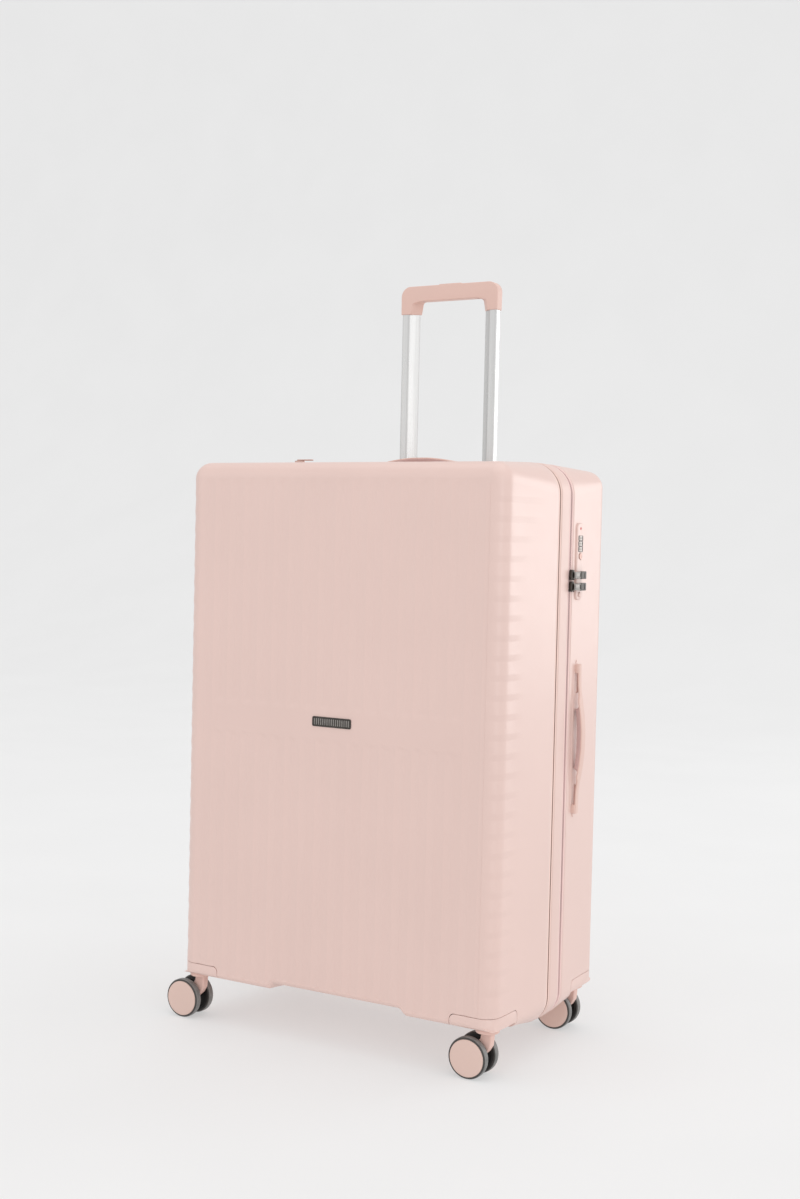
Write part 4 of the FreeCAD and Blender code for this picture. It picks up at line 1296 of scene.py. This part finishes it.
def carry_handles():
    """Both carry handles: the bar, its ribbed pad, the seat and the slot floors with painted shade."""
    for word, rise, end, thick, put in (
        ("top", TOP_RISE + 1.0, TOP_END, 2.2, set_on_top),
        ("side", SIDE_RISE, SIDE_END, 4.6, set_on_side),
    ):
        bar, pad = handle_bar(f"{word}_carry_grip", rise, end, thick)
        seat, slots = handle_seat(word)
        for thing in (bar, pad, seat, slots):
            put(thing)
        finish_piece(bar, TRIM, "trim", f"{word}_handle", f"{word}_handle_bar")
        finish_piece(pad, GRIP_PAD, "trim", f"{word}_handle")
        finish_piece(seat, SHELL, "trim", "back_case", *(("carry_handle_mounts",) if word == "top" else ()))
        finish_piece(slots, SLOT_DARK, "trim", "back_case")


# ---------------------------------------------------------------- kept nodes


def keep(node, material, width=0.0, segments=2):
    """A CAD node that is right as it is: a detailed material, and softened edges."""
    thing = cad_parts[node]
    thing.data.materials.clear()
    thing.data.materials.append(material)
    weld = thing.modifiers.new("weld", "WELD")
    weld.merge_threshold = 1e-6
    if width:
        bevel = thing.modifiers.new("bevel", "BEVEL")
        bevel.width = width * MM
        bevel.segments = segments
        bevel.limit_method = "ANGLE"
        bevel.angle_limit = math.radians(40)
        bevel.harden_normals = True
    return thing


# ---------------------------------------------------------------- lock


def digit_strokes(digit):
    """Strokes of a plain seven bar numeral, in a box one wide and two high."""
    bars = {
        "top": ((0, 2), (1, 2)),
        "middle": ((0, 1), (1, 1)),
        "bottom": ((0, 0), (1, 0)),
        "left_up": ((0, 1), (0, 2)),
        "right_up": ((1, 1), (1, 2)),
        "left_down": ((0, 0), (0, 1)),
        "right_down": ((1, 0), (1, 1)),
    }
    words = {
        0: "top bottom left_up right_up left_down right_down",
        1: "right_up right_down",
        2: "top middle bottom right_up left_down",
        3: "top middle bottom right_up right_down",
        4: "middle left_up right_up right_down",
        5: "top middle bottom left_up right_down",
        6: "top middle bottom left_up left_down right_down",
        7: "top right_up right_down",
        8: "top middle bottom left_up right_up left_down right_down",
        9: "top middle bottom left_up right_up right_down",
    }
    return [bars[word] for word in words[digit].split()]


def dial(number):
    """One number wheel: ten flats with a numeral each, and fine notches between them."""
    low, high = span(f"lock_dial_{number}")
    axis_x, axis_y = 0.5 * (low.x + high.x), 0.5 * (low.y + high.y)
    radius = 0.5 * (high.x - low.x)
    count = 80
    points, faces = [], []
    levels = (low.z, low.z + 0.5, high.z - 0.5, high.z)
    for level, z in enumerate(levels):
        for k in range(count):
            turn = 2 * math.pi * k / count
            notch = 0.42 if k % 8 == 4 else 0.0
            r = radius - notch - (0.45 if level in (0, 3) else 0.0)
            points.append((axis_x + r * math.cos(turn), axis_y + r * math.sin(turn), z))
    for level in range(3):
        for k in range(count):
            n = (k + 1) % count
            one, two = level * count, (level + 1) * count
            faces.append((one + k, one + n, two + n, two + k))
    faces.append(tuple(range(count)))
    faces.append(tuple(range(4 * count - 1, 3 * count - 1, -1)))
    wheel = outward(to_object(f"number_wheel_{number}", points, faces))
    shade(wheel, 30)
    finish_piece(wheel, DIAL, "dial", f"dial_{number}", f"lock_dial_{number}")
    strokes, stroke_faces = [], []
    scale_u, scale_v = 0.72, 1.5
    mid = 0.5 * (low.z + high.z)
    for digit in range(10):
        middle = 2 * math.pi * digit / 10
        for (u0, v0), (u1, v1) in digit_strokes(digit):
            a0, a1 = (v0 - 1) * scale_v / radius, (v1 - 1) * scale_v / radius
            z0, z1 = mid + (u0 - 0.5) * 2 * scale_u, mid + (u1 - 0.5) * 2 * scale_u
            grow_a, grow_z = 0.16 / radius, 0.16
            a_low, a_high = min(a0, a1) - grow_a, max(a0, a1) + grow_a
            z_low, z_high = min(z0, z1) - grow_z, max(z0, z1) + grow_z
            first = len(strokes)
            cells = 3
            for depth in (radius + 0.035, radius - 0.25):
                for zz in (z_low, z_high):
                    for i in range(cells + 1):
                        a = middle + a_low + (a_high - a_low) * i / cells
                        strokes.append((axis_x + depth * math.cos(a), axis_y + depth * math.sin(a), zz))
            row = cells + 1
            for i in range(cells):
                stroke_faces.append((first + i, first + i + 1, first + row + i + 1, first + row + i))
                o = first + 2 * row
                stroke_faces.append((o + i, o + row + i, o + row + i + 1, o + i + 1))
                stroke_faces.append((first + i, o + i, o + i + 1, first + i + 1))
                stroke_faces.append((first + row + i, first + row + i + 1, o + row + i + 1, o + row + i))
            for i in (0, cells):
                o = first + 2 * row
                stroke_faces.append((first + i, first + row + i, o + row + i, o + i))
    ink = outward(to_object(f"wheel_numerals_{number}", strokes, stroke_faces))
    finish_piece(ink, INK, "dial", f"dial_{number}")


def lock():
    """The combination lock: a rounded plate with three dial windows, a key and a release button."""
    low, high = span("lock_body")
    body_low, body_high = low.x, high.x - 0.4
    mid_y = 0.5 * (low.y + high.y)
    outline = rounded_outline((low.y + 0.05, low.z + 0.05), (high.y - 0.05, high.z - 0.05), 7, 10)
    body = plate("lock_housing", outline, "x", body_low, body_high, 1.9, 6)
    for number in (1, 2, 3):
        d_low, d_high = span(f"lock_dial_{number}")
        mid = 0.5 * (d_low.z + d_high.z)
        slot = rounded_outline((mid_y - 5.7, mid - 2.75), (mid_y + 5.7, mid + 2.75), 1.1, 4)
        boolean(body, plate("window", slot, "x", body_high - 4.0, body_high + 5))
        axis_x = 0.5 * (d_low.x + d_high.x)
        room = [(0, mid - 2.95), (7.5, mid - 2.95), (7.5, mid + 2.95), (0, mid + 2.95)]
        boolean(body, lathe("dial_room", room, "z", (axis_x, mid_y, 0), 48))
    k_low, k_high = span("key_cylinder")
    key_y, key_z = 0.5 * (k_low.y + k_high.y), 0.5 * (k_low.z + k_high.z)
    bore = [(0, k_low.x - 0.4), (4.1, k_low.x - 0.4), (4.1, body_high + 5), (0, body_high + 5)]
    boolean(body, lathe("key_bore", bore, "x", (0, key_y, key_z), 48))
    collar = [(4.1, body_high - 0.5), (5.3, body_high - 0.5), (5.3, body_high + 3), (4.1, body_high + 3)]
    boolean(body, lathe("collar_groove", collar, "x", (0, key_y, key_z), 48))
    b_low, b_high = span("lock_release_button")
    room = rounded_outline((b_low.y - 0.12, b_low.z - 0.12), (b_high.y + 0.12, b_high.z + 0.12), 3, 6)
    boolean(body, plate("button_room", room, "x", b_low.x - 3.2, body_high + 5))
    mark = [(0, body_high - 0.6), (2.1, body_high - 0.6), (2.1, body_high + 3), (0, body_high + 3)]
    boolean(body, lathe("mark_pit", mark, "x", (0, mid_y, 677), 32))
    shade(body, 35)
    finish_piece(body, SHELL, "trim", "back_case", "lock_body")
    dot = lathe(
        "lock_mark",
        [
            (0, body_high - 0.8),
            (2.0, body_high - 0.8),
            (2.0, body_high - 0.1),
            (1.5, body_high + 0.15),
            (0, body_high + 0.3),
        ],
        "x",
        (0, mid_y, 677),
        32,
    )
    finish_piece(dot, RED, "trim", "back_case")
    for number in (1, 2, 3):
        dial(number)
        d_low, d_high = span(f"lock_dial_{number}")
        mid = 0.5 * (d_low.z + d_high.z)
        frame_out = rounded_outline((mid_y - 6.9, mid - 3.45), (mid_y + 6.9, mid + 3.45), 1.6, 4)
        frame_in = rounded_outline((mid_y - 5.4, mid - 1.9), (mid_y + 5.4, mid + 1.9), 1.0, 4)
        frame_piece = plate(
            f"dial_window_frame_{number}", frame_out, "x", body_high - 0.02, body_high + 0.2, 0.06, 1
        )
        boolean(frame_piece, plate("frame_hole", frame_in, "x", body_high - 2, body_high + 2))
        shade(frame_piece, 35)
        finish_piece(frame_piece, BLACK, "hardware", "back_case")
    cylinder = lathe(
        "key_plug",
        [(0, k_low.x), (3.95, k_low.x), (3.95, k_high.x - 0.5), (3.5, k_high.x), (0, k_high.x)],
        "x",
        (0, key_y, key_z),
        48,
    )
    slot = block(
        "key_slot", (k_high.x - 2.6, key_y - 0.55, key_z - 2.6), (k_high.x + 2, key_y + 0.55, key_z + 2.2)
    )
    boolean(cylinder, slot)
    shade(cylinder, 35)
    finish_piece(cylinder, PINK_METAL, "hardware", "key", "key_cylinder")
    outline = rounded_outline((b_low.y + 0.1, b_low.z + 0.1), (b_high.y - 0.1, b_high.z - 0.1), 2.8, 6)
    button = plate("release_key", outline, "x", b_low.x, b_high.x, 0.5, 3)
    for k in range(3):
        at = 0.5 * (b_low.z + b_high.z) + 2.0 * (k - 1)
        groove = block(
            "groove", (b_high.x - 0.35, b_low.y + 2.4, at - 0.35), (b_high.x + 1, b_high.y - 2.4, at + 0.35)
        )
        boolean(button, groove)
    shade(button, 35)
    finish_piece(button, SHELL, "trim", "release_button", "lock_release_button")


# ---------------------------------------------------------------- sliders and pulls


def ring_of(name, outline, closed, radius, sections=10):
    """A round wire along a path of (x, y, z) points."""
    n = len(outline)
    points = []
    for k in range(n):
        before = Vector(outline[k - 1] if closed or k else outline[k])
        after = Vector(outline[(k + 1) % n] if closed or k < n - 1 else outline[k])
        ahead = (after - before).normalized()
        side = ahead.cross(Vector((0, 0, 1)))
        if side.length < 0.1:
            side = ahead.cross(Vector((1, 0, 0)))
        side.normalize()
        up = side.cross(ahead)
        for j in range(sections):
            turn = 2 * math.pi * j / sections
            points.append(tuple(Vector(outline[k]) + radius * (math.cos(turn) * side + math.sin(turn) * up)))
    faces = tube_faces(n, sections, closed) + ([] if closed else end_caps(n, sections))
    made = outward(to_object(name, points, faces))
    shade(made, 60)
    return made


def main_slider(word):
    """A cast slider on the main zip, with a bridge and a pull that swings on it."""
    low, high = span(f"{word}_slider")
    mid_y, mid_z = 0.5 * (low.y + high.y), 0.5 * (low.z + high.z)
    p_low, p_high = span(f"{word}_pull_tab")
    axis_x = 0.5 * (p_low.x + p_low.x + 3.4)
    half_y, half_z = 0.5 * (high.y - low.y), 7.0
    heart = [
        (mid_y - half_y + 1.6, mid_z - half_z),
        (mid_y - half_y * 0.2, mid_z - half_z * 0.72),
        (mid_y + half_y * 0.2, mid_z - half_z * 0.72),
        (mid_y + half_y - 1.6, mid_z - half_z),
        (mid_y + half_y, mid_z - half_z + 1.6),
        (mid_y + half_y * 0.86, mid_z + half_z - 2.4),
        (mid_y + half_y * 0.5, mid_z + half_z),
        (mid_y - half_y * 0.5, mid_z + half_z),
        (mid_y - half_y * 0.86, mid_z + half_z - 2.4),
        (mid_y - half_y, mid_z - half_z + 1.6),
    ]
    plates = plate(f"{word}_cast_slider", heart, "x", low.x, low.x + 4.2, 0.9, 3)
    boolean(
        plates,
        block(
            "coil_way",
            (low.x + 1.0, mid_y - half_y - 2, mid_z - 20),
            (low.x + 2.4, mid_y + half_y + 2, mid_z - 3.2),
        ),
    )
    path = []
    for k in range(17):
        turn = math.pi * k / 16
        path.append(
            (
                low.x + 3.9 + (axis_x - low.x - 3.9) * math.sin(turn) ** 0.5,
                mid_y,
                mid_z - 4.6 * math.cos(turn),
            )
        )
    shade(plates, 40)
    finish_piece(plates, GUNMETAL, "hardware", f"{word}_zip", f"{word}_slider")
    # The bridge takes the lighter pull metal so that it shows as bright flecks on the dark slider: painted
    # highlight.
    bridge = ring_of(f"{word}_slider_bridge", path, False, 1.0, 10)
    finish_piece(bridge, PULL_METAL, "hardware", f"{word}_zip")
    link_path = []
    reach = p_high.y - mid_y
    tab_y0 = mid_y + reach * 0.5
    half_w = 3.5
    eye_y, far_y = mid_y + 0.1, mid_y + reach * 0.66
    corner = 2.0
    spots = [(eye_y, -half_w), (far_y, -half_w), (far_y, half_w), (eye_y, half_w)]
    for index, (y, z) in enumerate(spots):
        sy = 1 if index in (1, 2) else -1
        sz = 1 if index >= 2 else -1
        cy, cz = y - sy * corner, z - sz * corner
        start = {0: 180, 1: 270, 2: 0, 3: 90}[index]
        for k in range(7):
            turn = math.radians(start + 90 * k / 6)
            link_path.append((axis_x, cy + corner * math.cos(turn), mid_z + cz + corner * math.sin(turn)))
    link = ring_of("link", link_path, True, 1.05, 10)
    web = rounded_outline((mid_y + 2.2, mid_z - 3.0), (tab_y0 + 0.6, mid_z + 3.0), 0.8, 3)
    link = joined(f"{word}_pull_link", link, plate("web", web, "x", axis_x - 0.6, axis_x + 0.6, 0.25, 2))
    shade(link, 40)
    finish_piece(link, PULL_METAL, "hardware", f"{word}_pull")
    outline = rounded_outline((tab_y0, mid_z - 5.0), (p_high.y - 0.1, mid_z + 5.0), 1.5, 5)
    tab = plate(f"{word}_pull_end", outline, "x", axis_x - 1.4, axis_x + 1.4, 0.6, 3)
    mid_tab = 0.5 * (tab_y0 + p_high.y)
    pit = rounded_outline((mid_tab - 3.4, mid_z - 3.2), (mid_tab + 3.4, mid_z + 3.2), 1.0, 4)
    boolean(tab, plate("pit", pit, "x", axis_x + 1.0, axis_x + 4))
    shade(tab, 35)
    finish_piece(tab, GUNMETAL, "hardware", f"{word}_pull", f"{word}_pull_tab")


def expansion_pull():
    """The small slider of the expansion zip, with its short flat pull."""
    low, high = span("expansion_slider")
    body_x = low.x + 7
    mid_y = 0.5 * (low.y + high.y)
    z0 = low.z
    heart = [
        (body_x - 7, mid_y - 2.4),
        (body_x - 5, mid_y - 4.4),
        (body_x + 5, mid_y - 3.6),
        (body_x + 7, mid_y - 1.8),
    ]
    heart += [(x, 2 * mid_y - y) for x, y in reversed(heart)]
    body = plate("expander_slider_body", heart, "z", z0, z0 + 3.6, 0.8, 3)
    neck = plate(
        "neck",
        rounded_outline((body_x - 2, mid_y - 1.9), (body_x + 2, mid_y + 1.9), 1),
        "z",
        z0 + 2,
        z0 + 4.4,
        0.3,
        2,
    )
    tab_outline = rounded_outline((body_x - 4, mid_y - 2.9), (high.x, mid_y + 2.9), 2.6, 6)
    tab = plate("tab", tab_outline, "z", z0 + 3.7, z0 + 5.4, 0.5, 3)
    boolean(
        tab,
        plate(
            "pit",
            rounded_outline((high.x - 12, mid_y - 1.7), (high.x - 3, mid_y + 1.7), 1.5),
            "z",
            z0 + 5.0,
            z0 + 9,
        ),
    )
    slider = joined("expander_slider_body", body, neck, tab)
    shade(slider, 35)
    finish_piece(slider, PINK_METAL, "hardware", "expansion_zip", "expansion_slider")


def badge():
    """A plain plate on the smooth belt: a rounded rim round fine upright ribs, without any mark."""
    low, high = span("badge_plate")
    outline = rounded_outline((low.x + 0.1, low.z + 0.1), (high.x - 0.1, high.z - 0.1), 2.2, 6)
    made = plate("front_badge", outline, "y", low.y, high.y, 0.4, 3)
    inside = rounded_outline((low.x + 1.6, low.z + 1.6), (high.x - 1.6, high.z - 1.6), 1.2, 4)
    boolean(made, plate("pit", inside, "y", low.y - 3, low.y + 0.35))
    shade(made, 35)
    finish_piece(made, GUNMETAL, "hardware", "front_case", "badge_plate")
    ribs = []
    count = 17
    for k in range(count):
        x = low.x + 3.6 + (high.x - low.x - 7.2) * k / (count - 1)
        ribs.append(
            block(
                "rib", (x - 0.75, low.y + 0.02, low.z + 2.4), (x + 0.75, low.y + 0.6, high.z - 2.4), 0.25, 2
            )
        )
    whole = joined("front_badge_ribs", *ribs)
    shade(whole, 35)
    finish_piece(whole, PULL_METAL, "hardware", "front_case")


# ---------------------------------------------------------------- telescopic handle


def grip():
    """The grip of the telescopic handle: a smooth U, and the button in its top."""
    low, high = span("trolley_grip")
    mid_y = 0.5 * (low.y + high.y)
    foot, top = low.z, high.z
    under, leg, slant = 997.0, 50.5, 0.5
    outline = []

    def corner(cx, cz, radius, first, last, count):
        for k in range(count + 1):
            turn = math.radians(first + (last - first) * k / count)
            outline.append((cx + radius * math.cos(turn), cz + radius * math.sin(turn)))

    corner(high.x - 14.5, top - 14.5, 14.5, 0, 90, 10)
    corner(low.x + 14.5, top - 14.5, 14.5, 90, 180, 10)
    outline += [(low.x + 0.3, foot + 0.1), (-leg - slant, foot + 0.1)]
    corner(-leg + 6.5, under - 4.5, 4.5, 165, 90, 6)
    corner(leg - 6.5, under - 4.5, 4.5, 90, 15, 6)
    outline += [(leg + slant, foot + 0.1), (high.x - 0.3, foot + 0.1)]
    clean = []
    for point in outline:
        if not clean or math.dist(point, clean[-1]) > 0.05:
            clean.append(point)
    made = plate("handle_grip", clean, "y", low.y, high.y)
    for vertex in made.data.vertices:
        x, y, z = vertex.co / MM
        if abs(x) < 54 and z < under - 0.05:
            lean = 11.0 * (high.y - y) / (high.y - low.y) * min(1.0, (under - z) / 3.4)
            vertex.co.x += math.copysign(lean * MM, x)
    bevelled(made, 2.4, 5, 40)
    b_low, b_high = span("trolley_button")
    pocket_box = block(
        "pocket", (b_low.x - 0.45, b_low.y - 0.45, b_low.z - 4.0), (b_high.x + 0.45, b_high.y + 0.45, top + 6)
    )
    boolean(made, pocket_box)
    shade(made, 30)
    finish_piece(made, TRIM, "trim", "trolley", "trolley_grip")
    outline = rounded_outline((b_low.x, b_low.y), (b_high.x, b_high.y), 2.0, 5)
    button = plate("handle_button", outline, "z", b_low.z, b_high.z, 0.9, 4)
    for k in range(7):
        x = 4.0 * (k - 3)
        boolean(
            button,
            block(
                "groove", (x - 0.45, b_low.y + 2.0, b_high.z - 0.45), (x + 0.45, b_high.y - 2.0, b_high.z + 2)
            ),
        )
    shade(button, 35)
    finish_piece(button, TRIM, "trim", "trolley_release", "trolley_button")
    plugs = []
    for sign in (-1, 1):
        at = sign * 44.0
        pins = [
            (0, under - 0.45), (1.7, under - 0.45), (1.9, under - 0.1), (1.9, under + 1.5), (0, under + 1.5)
        ]
        plugs.append(lathe("plug", pins, "z", (at, mid_y, 0), 24))
    pegs = joined("handle_grip_pegs", *plugs)
    finish_piece(pegs, GRIP_PAD, "trim", "trolley")


TUBE_WALL = 1.2
TUBE_ROUND = 1.8


def tube_outline(grow):
    """The section of a right hand tube: a four sided form, narrower at its front."""
    y0, y1 = -6.0 - grow, 6.0 + grow
    return [(65.0 - 0.39 * grow, y0), (76.0 + grow, y0), (76.0 + grow, y1), (52.0 - 2.56 * grow, y1)]


def extruded(name, outline, low, high, round_by):
    """A solid bar with rounded upright corners, from a four sided outline."""
    solid = plate(name, outline, "z", low, high)
    mesh = bmesh.new()
    mesh.from_mesh(solid.data)
    upright = [e for e in mesh.edges if abs(e.verts[0].co.z - e.verts[1].co.z) > 1e-4]
    bmesh.ops.bevel(mesh, geom=upright, offset=round_by * MM, segments=5, affect="EDGES", profile=0.5)
    mesh.to_mesh(solid.data)
    mesh.free()
    return outward(solid)


def tubes():
    """The inner and outer tubes of the telescopic handle, both with open ends."""
    low, high = span("trolley_inner_tubes")
    mid_y = 0.5 * (low.y + high.y)
    for node, name, body, grow in (
        ("trolley_inner_tubes", "handle_inner_tubes", "trolley", 0.0),
        ("trolley_outer_tubes", "handle_outer_tubes", "back_case", 1.65),
    ):
        t_low, t_high = span(node)
        pieces = []
        for sign in (1, -1):
            outer = [(sign * x, mid_y + y) for x, y in tube_outline(grow)]
            inner = [(sign * x, mid_y + y) for x, y in tube_outline(grow - TUBE_WALL)]
            tube = extruded(name, outer, t_low.z, t_high.z, TUBE_ROUND)
            hollow = extruded("hollow", inner, t_low.z - 5, t_high.z + 5, TUBE_ROUND - 0.6)
            boolean(tube, hollow)
            pieces.append(tube)
        whole = joined(name, *pieces)
        shade(whole, 35)
        finish_piece(whole, TUBE, "tube", body, node)


# ---------------------------------------------------------------- casters


FORK_DISC = 15.0
TREAD_FROM = 25.1


def caster(end, word):
    """A twin caster: a moulded fork, a steel axle, and two capped wheels with soft tyres."""
    base = f"{end}_{word}"
    a_low, a_high = span(f"{base}_axle")
    mid = 0.5 * (a_low + a_high)
    w_low, w_high = span(f"{base}_tyres")
    f_high = span(f"{base}_fork")[1]
    swivel_x = f_high.x - FORK_DISC
    swivel_y = mid.y
    blade = [
        (-5.5, 60.5), (8.0, 60.5), (7.8, 50), (7.0, 41), (2.5, 33.5), (-6.5, 25), (-12.5, 18.5),
        (-17.5, 16.9), (-23.0, 18.2),
    ]
    blade += [(-27.2, 24.0), (-27.0, 29.0), (-22.0, 35.5), (-12.5, 42.0), (-7.2, 50.0)]
    outline = [(swivel_x + x, z) for x, z in blade]
    fork = plate(f"{base}_fork_moulding", outline, "y", swivel_y - 5.6, swivel_y + 5.6, 1.7, 4)
    disc = [(0, 57.3), (13.8, 57.3), (FORK_DISC, 58.3), (FORK_DISC, 61.4), (14.4, f_high.z), (0, f_high.z)]
    boolean(fork, lathe("disc", disc, "z", (swivel_x, swivel_y, 0), 56), "UNION")
    neck = [(0, 52), (5.4, 52), (5.8, 55), (10.4, 57.8), (0, 57.8)]
    boolean(fork, lathe("neck", neck, "z", (swivel_x, swivel_y, 0), 48), "UNION")
    boolean(
        fork, lathe("pin_hole", [(0, 45), (3.56, 45), (3.56, 80), (0, 80)], "z", (swivel_x, swivel_y, 0), 32)
    )
    shade(fork, 38)
    finish_piece(fork, FORK, "trim", f"{base}_caster", f"{base}_fork")
    hubs, caps, tyres = [], [], []
    inner_at, outer_at = 8.0, 0.5 * (w_high.y - w_low.y)
    for sign in (1, -1):
        rim = [
            (2.1, inner_at),
            (7.0, inner_at),
            (7.6, inner_at + 5.5),
            (19.2, inner_at + 6.2),
            (20.2, inner_at + 0.6),
            (22.9, inner_at + 0.6),
            (22.9, outer_at),
            (2.1, outer_at),
        ]
        face = [
            (0, outer_at - 1.6),
            (23.1, outer_at - 1.6),
            (23.2, outer_at - 0.2),
            (22.7, outer_at + 0.7),
            (21.4, outer_at + 1.05),
            (18.0, outer_at + 1.2),
            (6.0, outer_at + 1.35),
            (0, outer_at + 1.4),
        ]
        band = [
            (23.15, inner_at + 0.6),
            (24.4, inner_at + 0.6),
            (25.4, inner_at + 1.4),
            (25.95, inner_at + 3.0),
            (25.98, outer_at - 2.6),
            (25.4, outer_at - 1.0),
            (24.4, outer_at - 0.2),
            (23.15, outer_at - 0.1),
        ]
        centre = (mid.x, mid.y, mid.z)
        hubs.append(lathe("hub", [(r, sign * a) for r, a in rim], "y", centre, 64))
        caps.append(lathe("cap", [(r, sign * a) for r, a in face], "y", centre, 72))
        tyres.append(lathe("tyre", [(r, sign * a) for r, a in band], "y", centre, 96))
    body = f"{base}_wheels"
    hub = joined(f"{base}_wheel_hubs", *hubs)
    cap = joined(f"{base}_wheel_caps", *caps)
    tyre = joined(f"{base}_soft_tyres", *tyres)
    finish_piece(hub, BLACK, "hub", body, f"{base}_hubs")
    finish_piece(cap, CAP, "hub", body)
    finish_piece(tyre, TYRE, "tyre", body, f"{base}_tyres")
    # Tread faces take the lighter grey: partly a grey tread, partly painted light on the lit tread.
    tyre.data.materials.append(TREAD_LIT)
    for face in tyre.data.polygons:
        reach = math.hypot(face.center.x / MM - mid.x, face.center.z / MM - mid.z)
        if reach > TREAD_FROM and abs(face.normal.y) < 0.6:
            face.material_index = 1
    return fork


# ---------------------------------------------------------------- camera, floor and light


def camera():
    """The studio camera, to the right of the front face, two thirds of a metre above the floor."""
    yaw, pitch, roll = math.radians(30.775), math.radians(-2.198), math.radians(1.304)
    ahead = Vector((-math.sin(yaw) * math.cos(pitch), math.cos(yaw) * math.cos(pitch), math.sin(pitch)))
    level = Vector((math.cos(yaw), math.sin(yaw), 0))
    rise = level.cross(ahead)
    right = math.cos(roll) * level + math.sin(roll) * rise
    up = -math.sin(roll) * level + math.cos(roll) * rise
    data = bpy.data.cameras.new("studio_camera")
    data.lens = 47.70
    data.sensor_width = 36
    data.sensor_fit = "AUTO"
    data.clip_end = 60
    thing = bpy.data.objects.new("studio_camera", data)
    bpy.context.scene.collection.objects.link(thing)
    place = Matrix((right, up, -ahead)).transposed().to_4x4()
    place.translation = Vector((1102.7, -1842.5, 658.7)) * MM
    thing.matrix_world = place
    bpy.context.scene.camera = thing
    return thing


def floor():
    """A pale paper sweep: a flat floor that curves up into a wall on the far side of the case."""
    half = 14000
    points, faces = [], []
    profile = [(-half, 0), (3200, 0)]
    for k in range(1, 25):
        turn = math.radians(90 * k / 24)
        profile.append((3200 + 2500 * math.sin(turn), 2500 * (1 - math.cos(turn))))
    profile.append((5700, 9000))
    for y, z in profile:
        points += [(-half, y, z), (half, y, z)]
    for k in range(len(profile) - 1):
        faces.append((2 * k, 2 * k + 1, 2 * k + 3, 2 * k + 2))
    sweep = to_object("paper_sweep", points, faces)
    material, nodes, links, shader = new_material("paper", (0.42, 0.42, 0.42), 0.8)
    tint(nodes, links, shader, noise(nodes, links, 3.0, 2.0), (0.415, 0.415, 0.415), (0.425, 0.425, 0.425))
    shader.inputs["Emission Color"].default_value = (1, 1, 1, 1)
    shader.inputs["Emission Strength"].default_value = PAPER_GLOW
    bump(nodes, links, shader, noise(nodes, links, 400.0, 3.0), 0.05)
    shader.inputs["Specular IOR Level"].default_value = 0.2
    coat(sweep, material)


def area_light(name, place, target, size, power):
    """A rectangular white lamp aimed at a point."""
    data = bpy.data.lights.new(name, "AREA")
    data.shape = "RECTANGLE"
    data.size, data.size_y = size
    data.energy = power
    thing = bpy.data.objects.new(name, data)
    bpy.context.scene.collection.objects.link(thing)
    thing.location = place
    thing.rotation_euler = (Vector(target) - Vector(place)).to_track_quat("-Z", "Y").to_euler()
    return thing


PAPER_GLOW = 0.425
WORLD_LEFT = 0.72
WORLD_RIGHT = 1.12
KEY_POWER = 24.0
STRIP_POWER = 6.5
FILL_POWER = 8.0
TOP_POWER = 16.0


def lights():
    """A pale world, brighter on the right, and four soft lamps."""
    world = bpy.data.worlds.new("studio")
    world.use_nodes = True
    background = world.node_tree.nodes["Background"]
    background.inputs["Color"].default_value = (1.0, 1.0, 1.0, 1)
    nodes, links = world.node_tree.nodes, world.node_tree.links
    sky = nodes.new("ShaderNodeTexCoord")
    parts = nodes.new("ShaderNodeSeparateXYZ")
    spread = nodes.new("ShaderNodeMapRange")
    spread.inputs["From Min"].default_value = -1.0
    spread.inputs["To Min"].default_value = WORLD_LEFT
    spread.inputs["To Max"].default_value = WORLD_RIGHT
    links.new(sky.outputs["Generated"], parts.inputs["Vector"])
    links.new(parts.outputs["X"], spread.inputs["Value"])
    links.new(spread.outputs["Result"], background.inputs["Strength"])
    bpy.context.scene.world = world
    bpy.context.scene.view_settings.view_transform = "Standard"
    area_light("key_back_right", (2.2, 3.2, 1.05), (0.1, 0, 0.34), (2.4, 1.8), KEY_POWER)
    area_light("strip_right", (3.0, -2.3, 1.1), (0.0, 0, 0.8), (0.9, 2.4), STRIP_POWER)
    area_light("fill_left", (-2.6, -3.0, 1.8), (0, 0, 0.4), (3.0, 3.0), FILL_POWER)
    area_light("top", (0.2, -0.2, 3.4), (0, 0, 0.3), (3.4, 3.4), TOP_POWER)


# ---------------------------------------------------------------- the whole scene


camera()
floor()
lights()
for half in (-1, 1):
    shell_piece(half)
    wheel_housings(half)
    lining_piece(half)
rim_band()
zips()
gusset()
hinge_cloth()
pocket()
straps()
carry_handles()
lock()
for slider_word in ("upper", "lower"):
    main_slider(slider_word)
expansion_pull()
badge()
grip()
tubes()
for caster_end in ("front", "rear"):
    for caster_side in ("left", "right"):
        caster(caster_end, caster_side)
        keep(f"{caster_end}_{caster_side}_axle", STEEL, 0.3)
    keep(f"{caster_end}_kingpins", STEEL, 0.5)
    keep(f"{caster_end}_swivel_bearings", STEEL, 0.4)
keep("front_shell_screws", STEEL, 0.5)
keep("back_shell_screws", STEEL, 0.5)
keep("trolley_bezel", TRIM, 0.4)
keep("trolley_foot_bracket", BLACK, 0.5)
keep("trolley_lock_blocks", BLACK, 0.4)
keep("trolley_release_yoke", STEEL, 0.4)
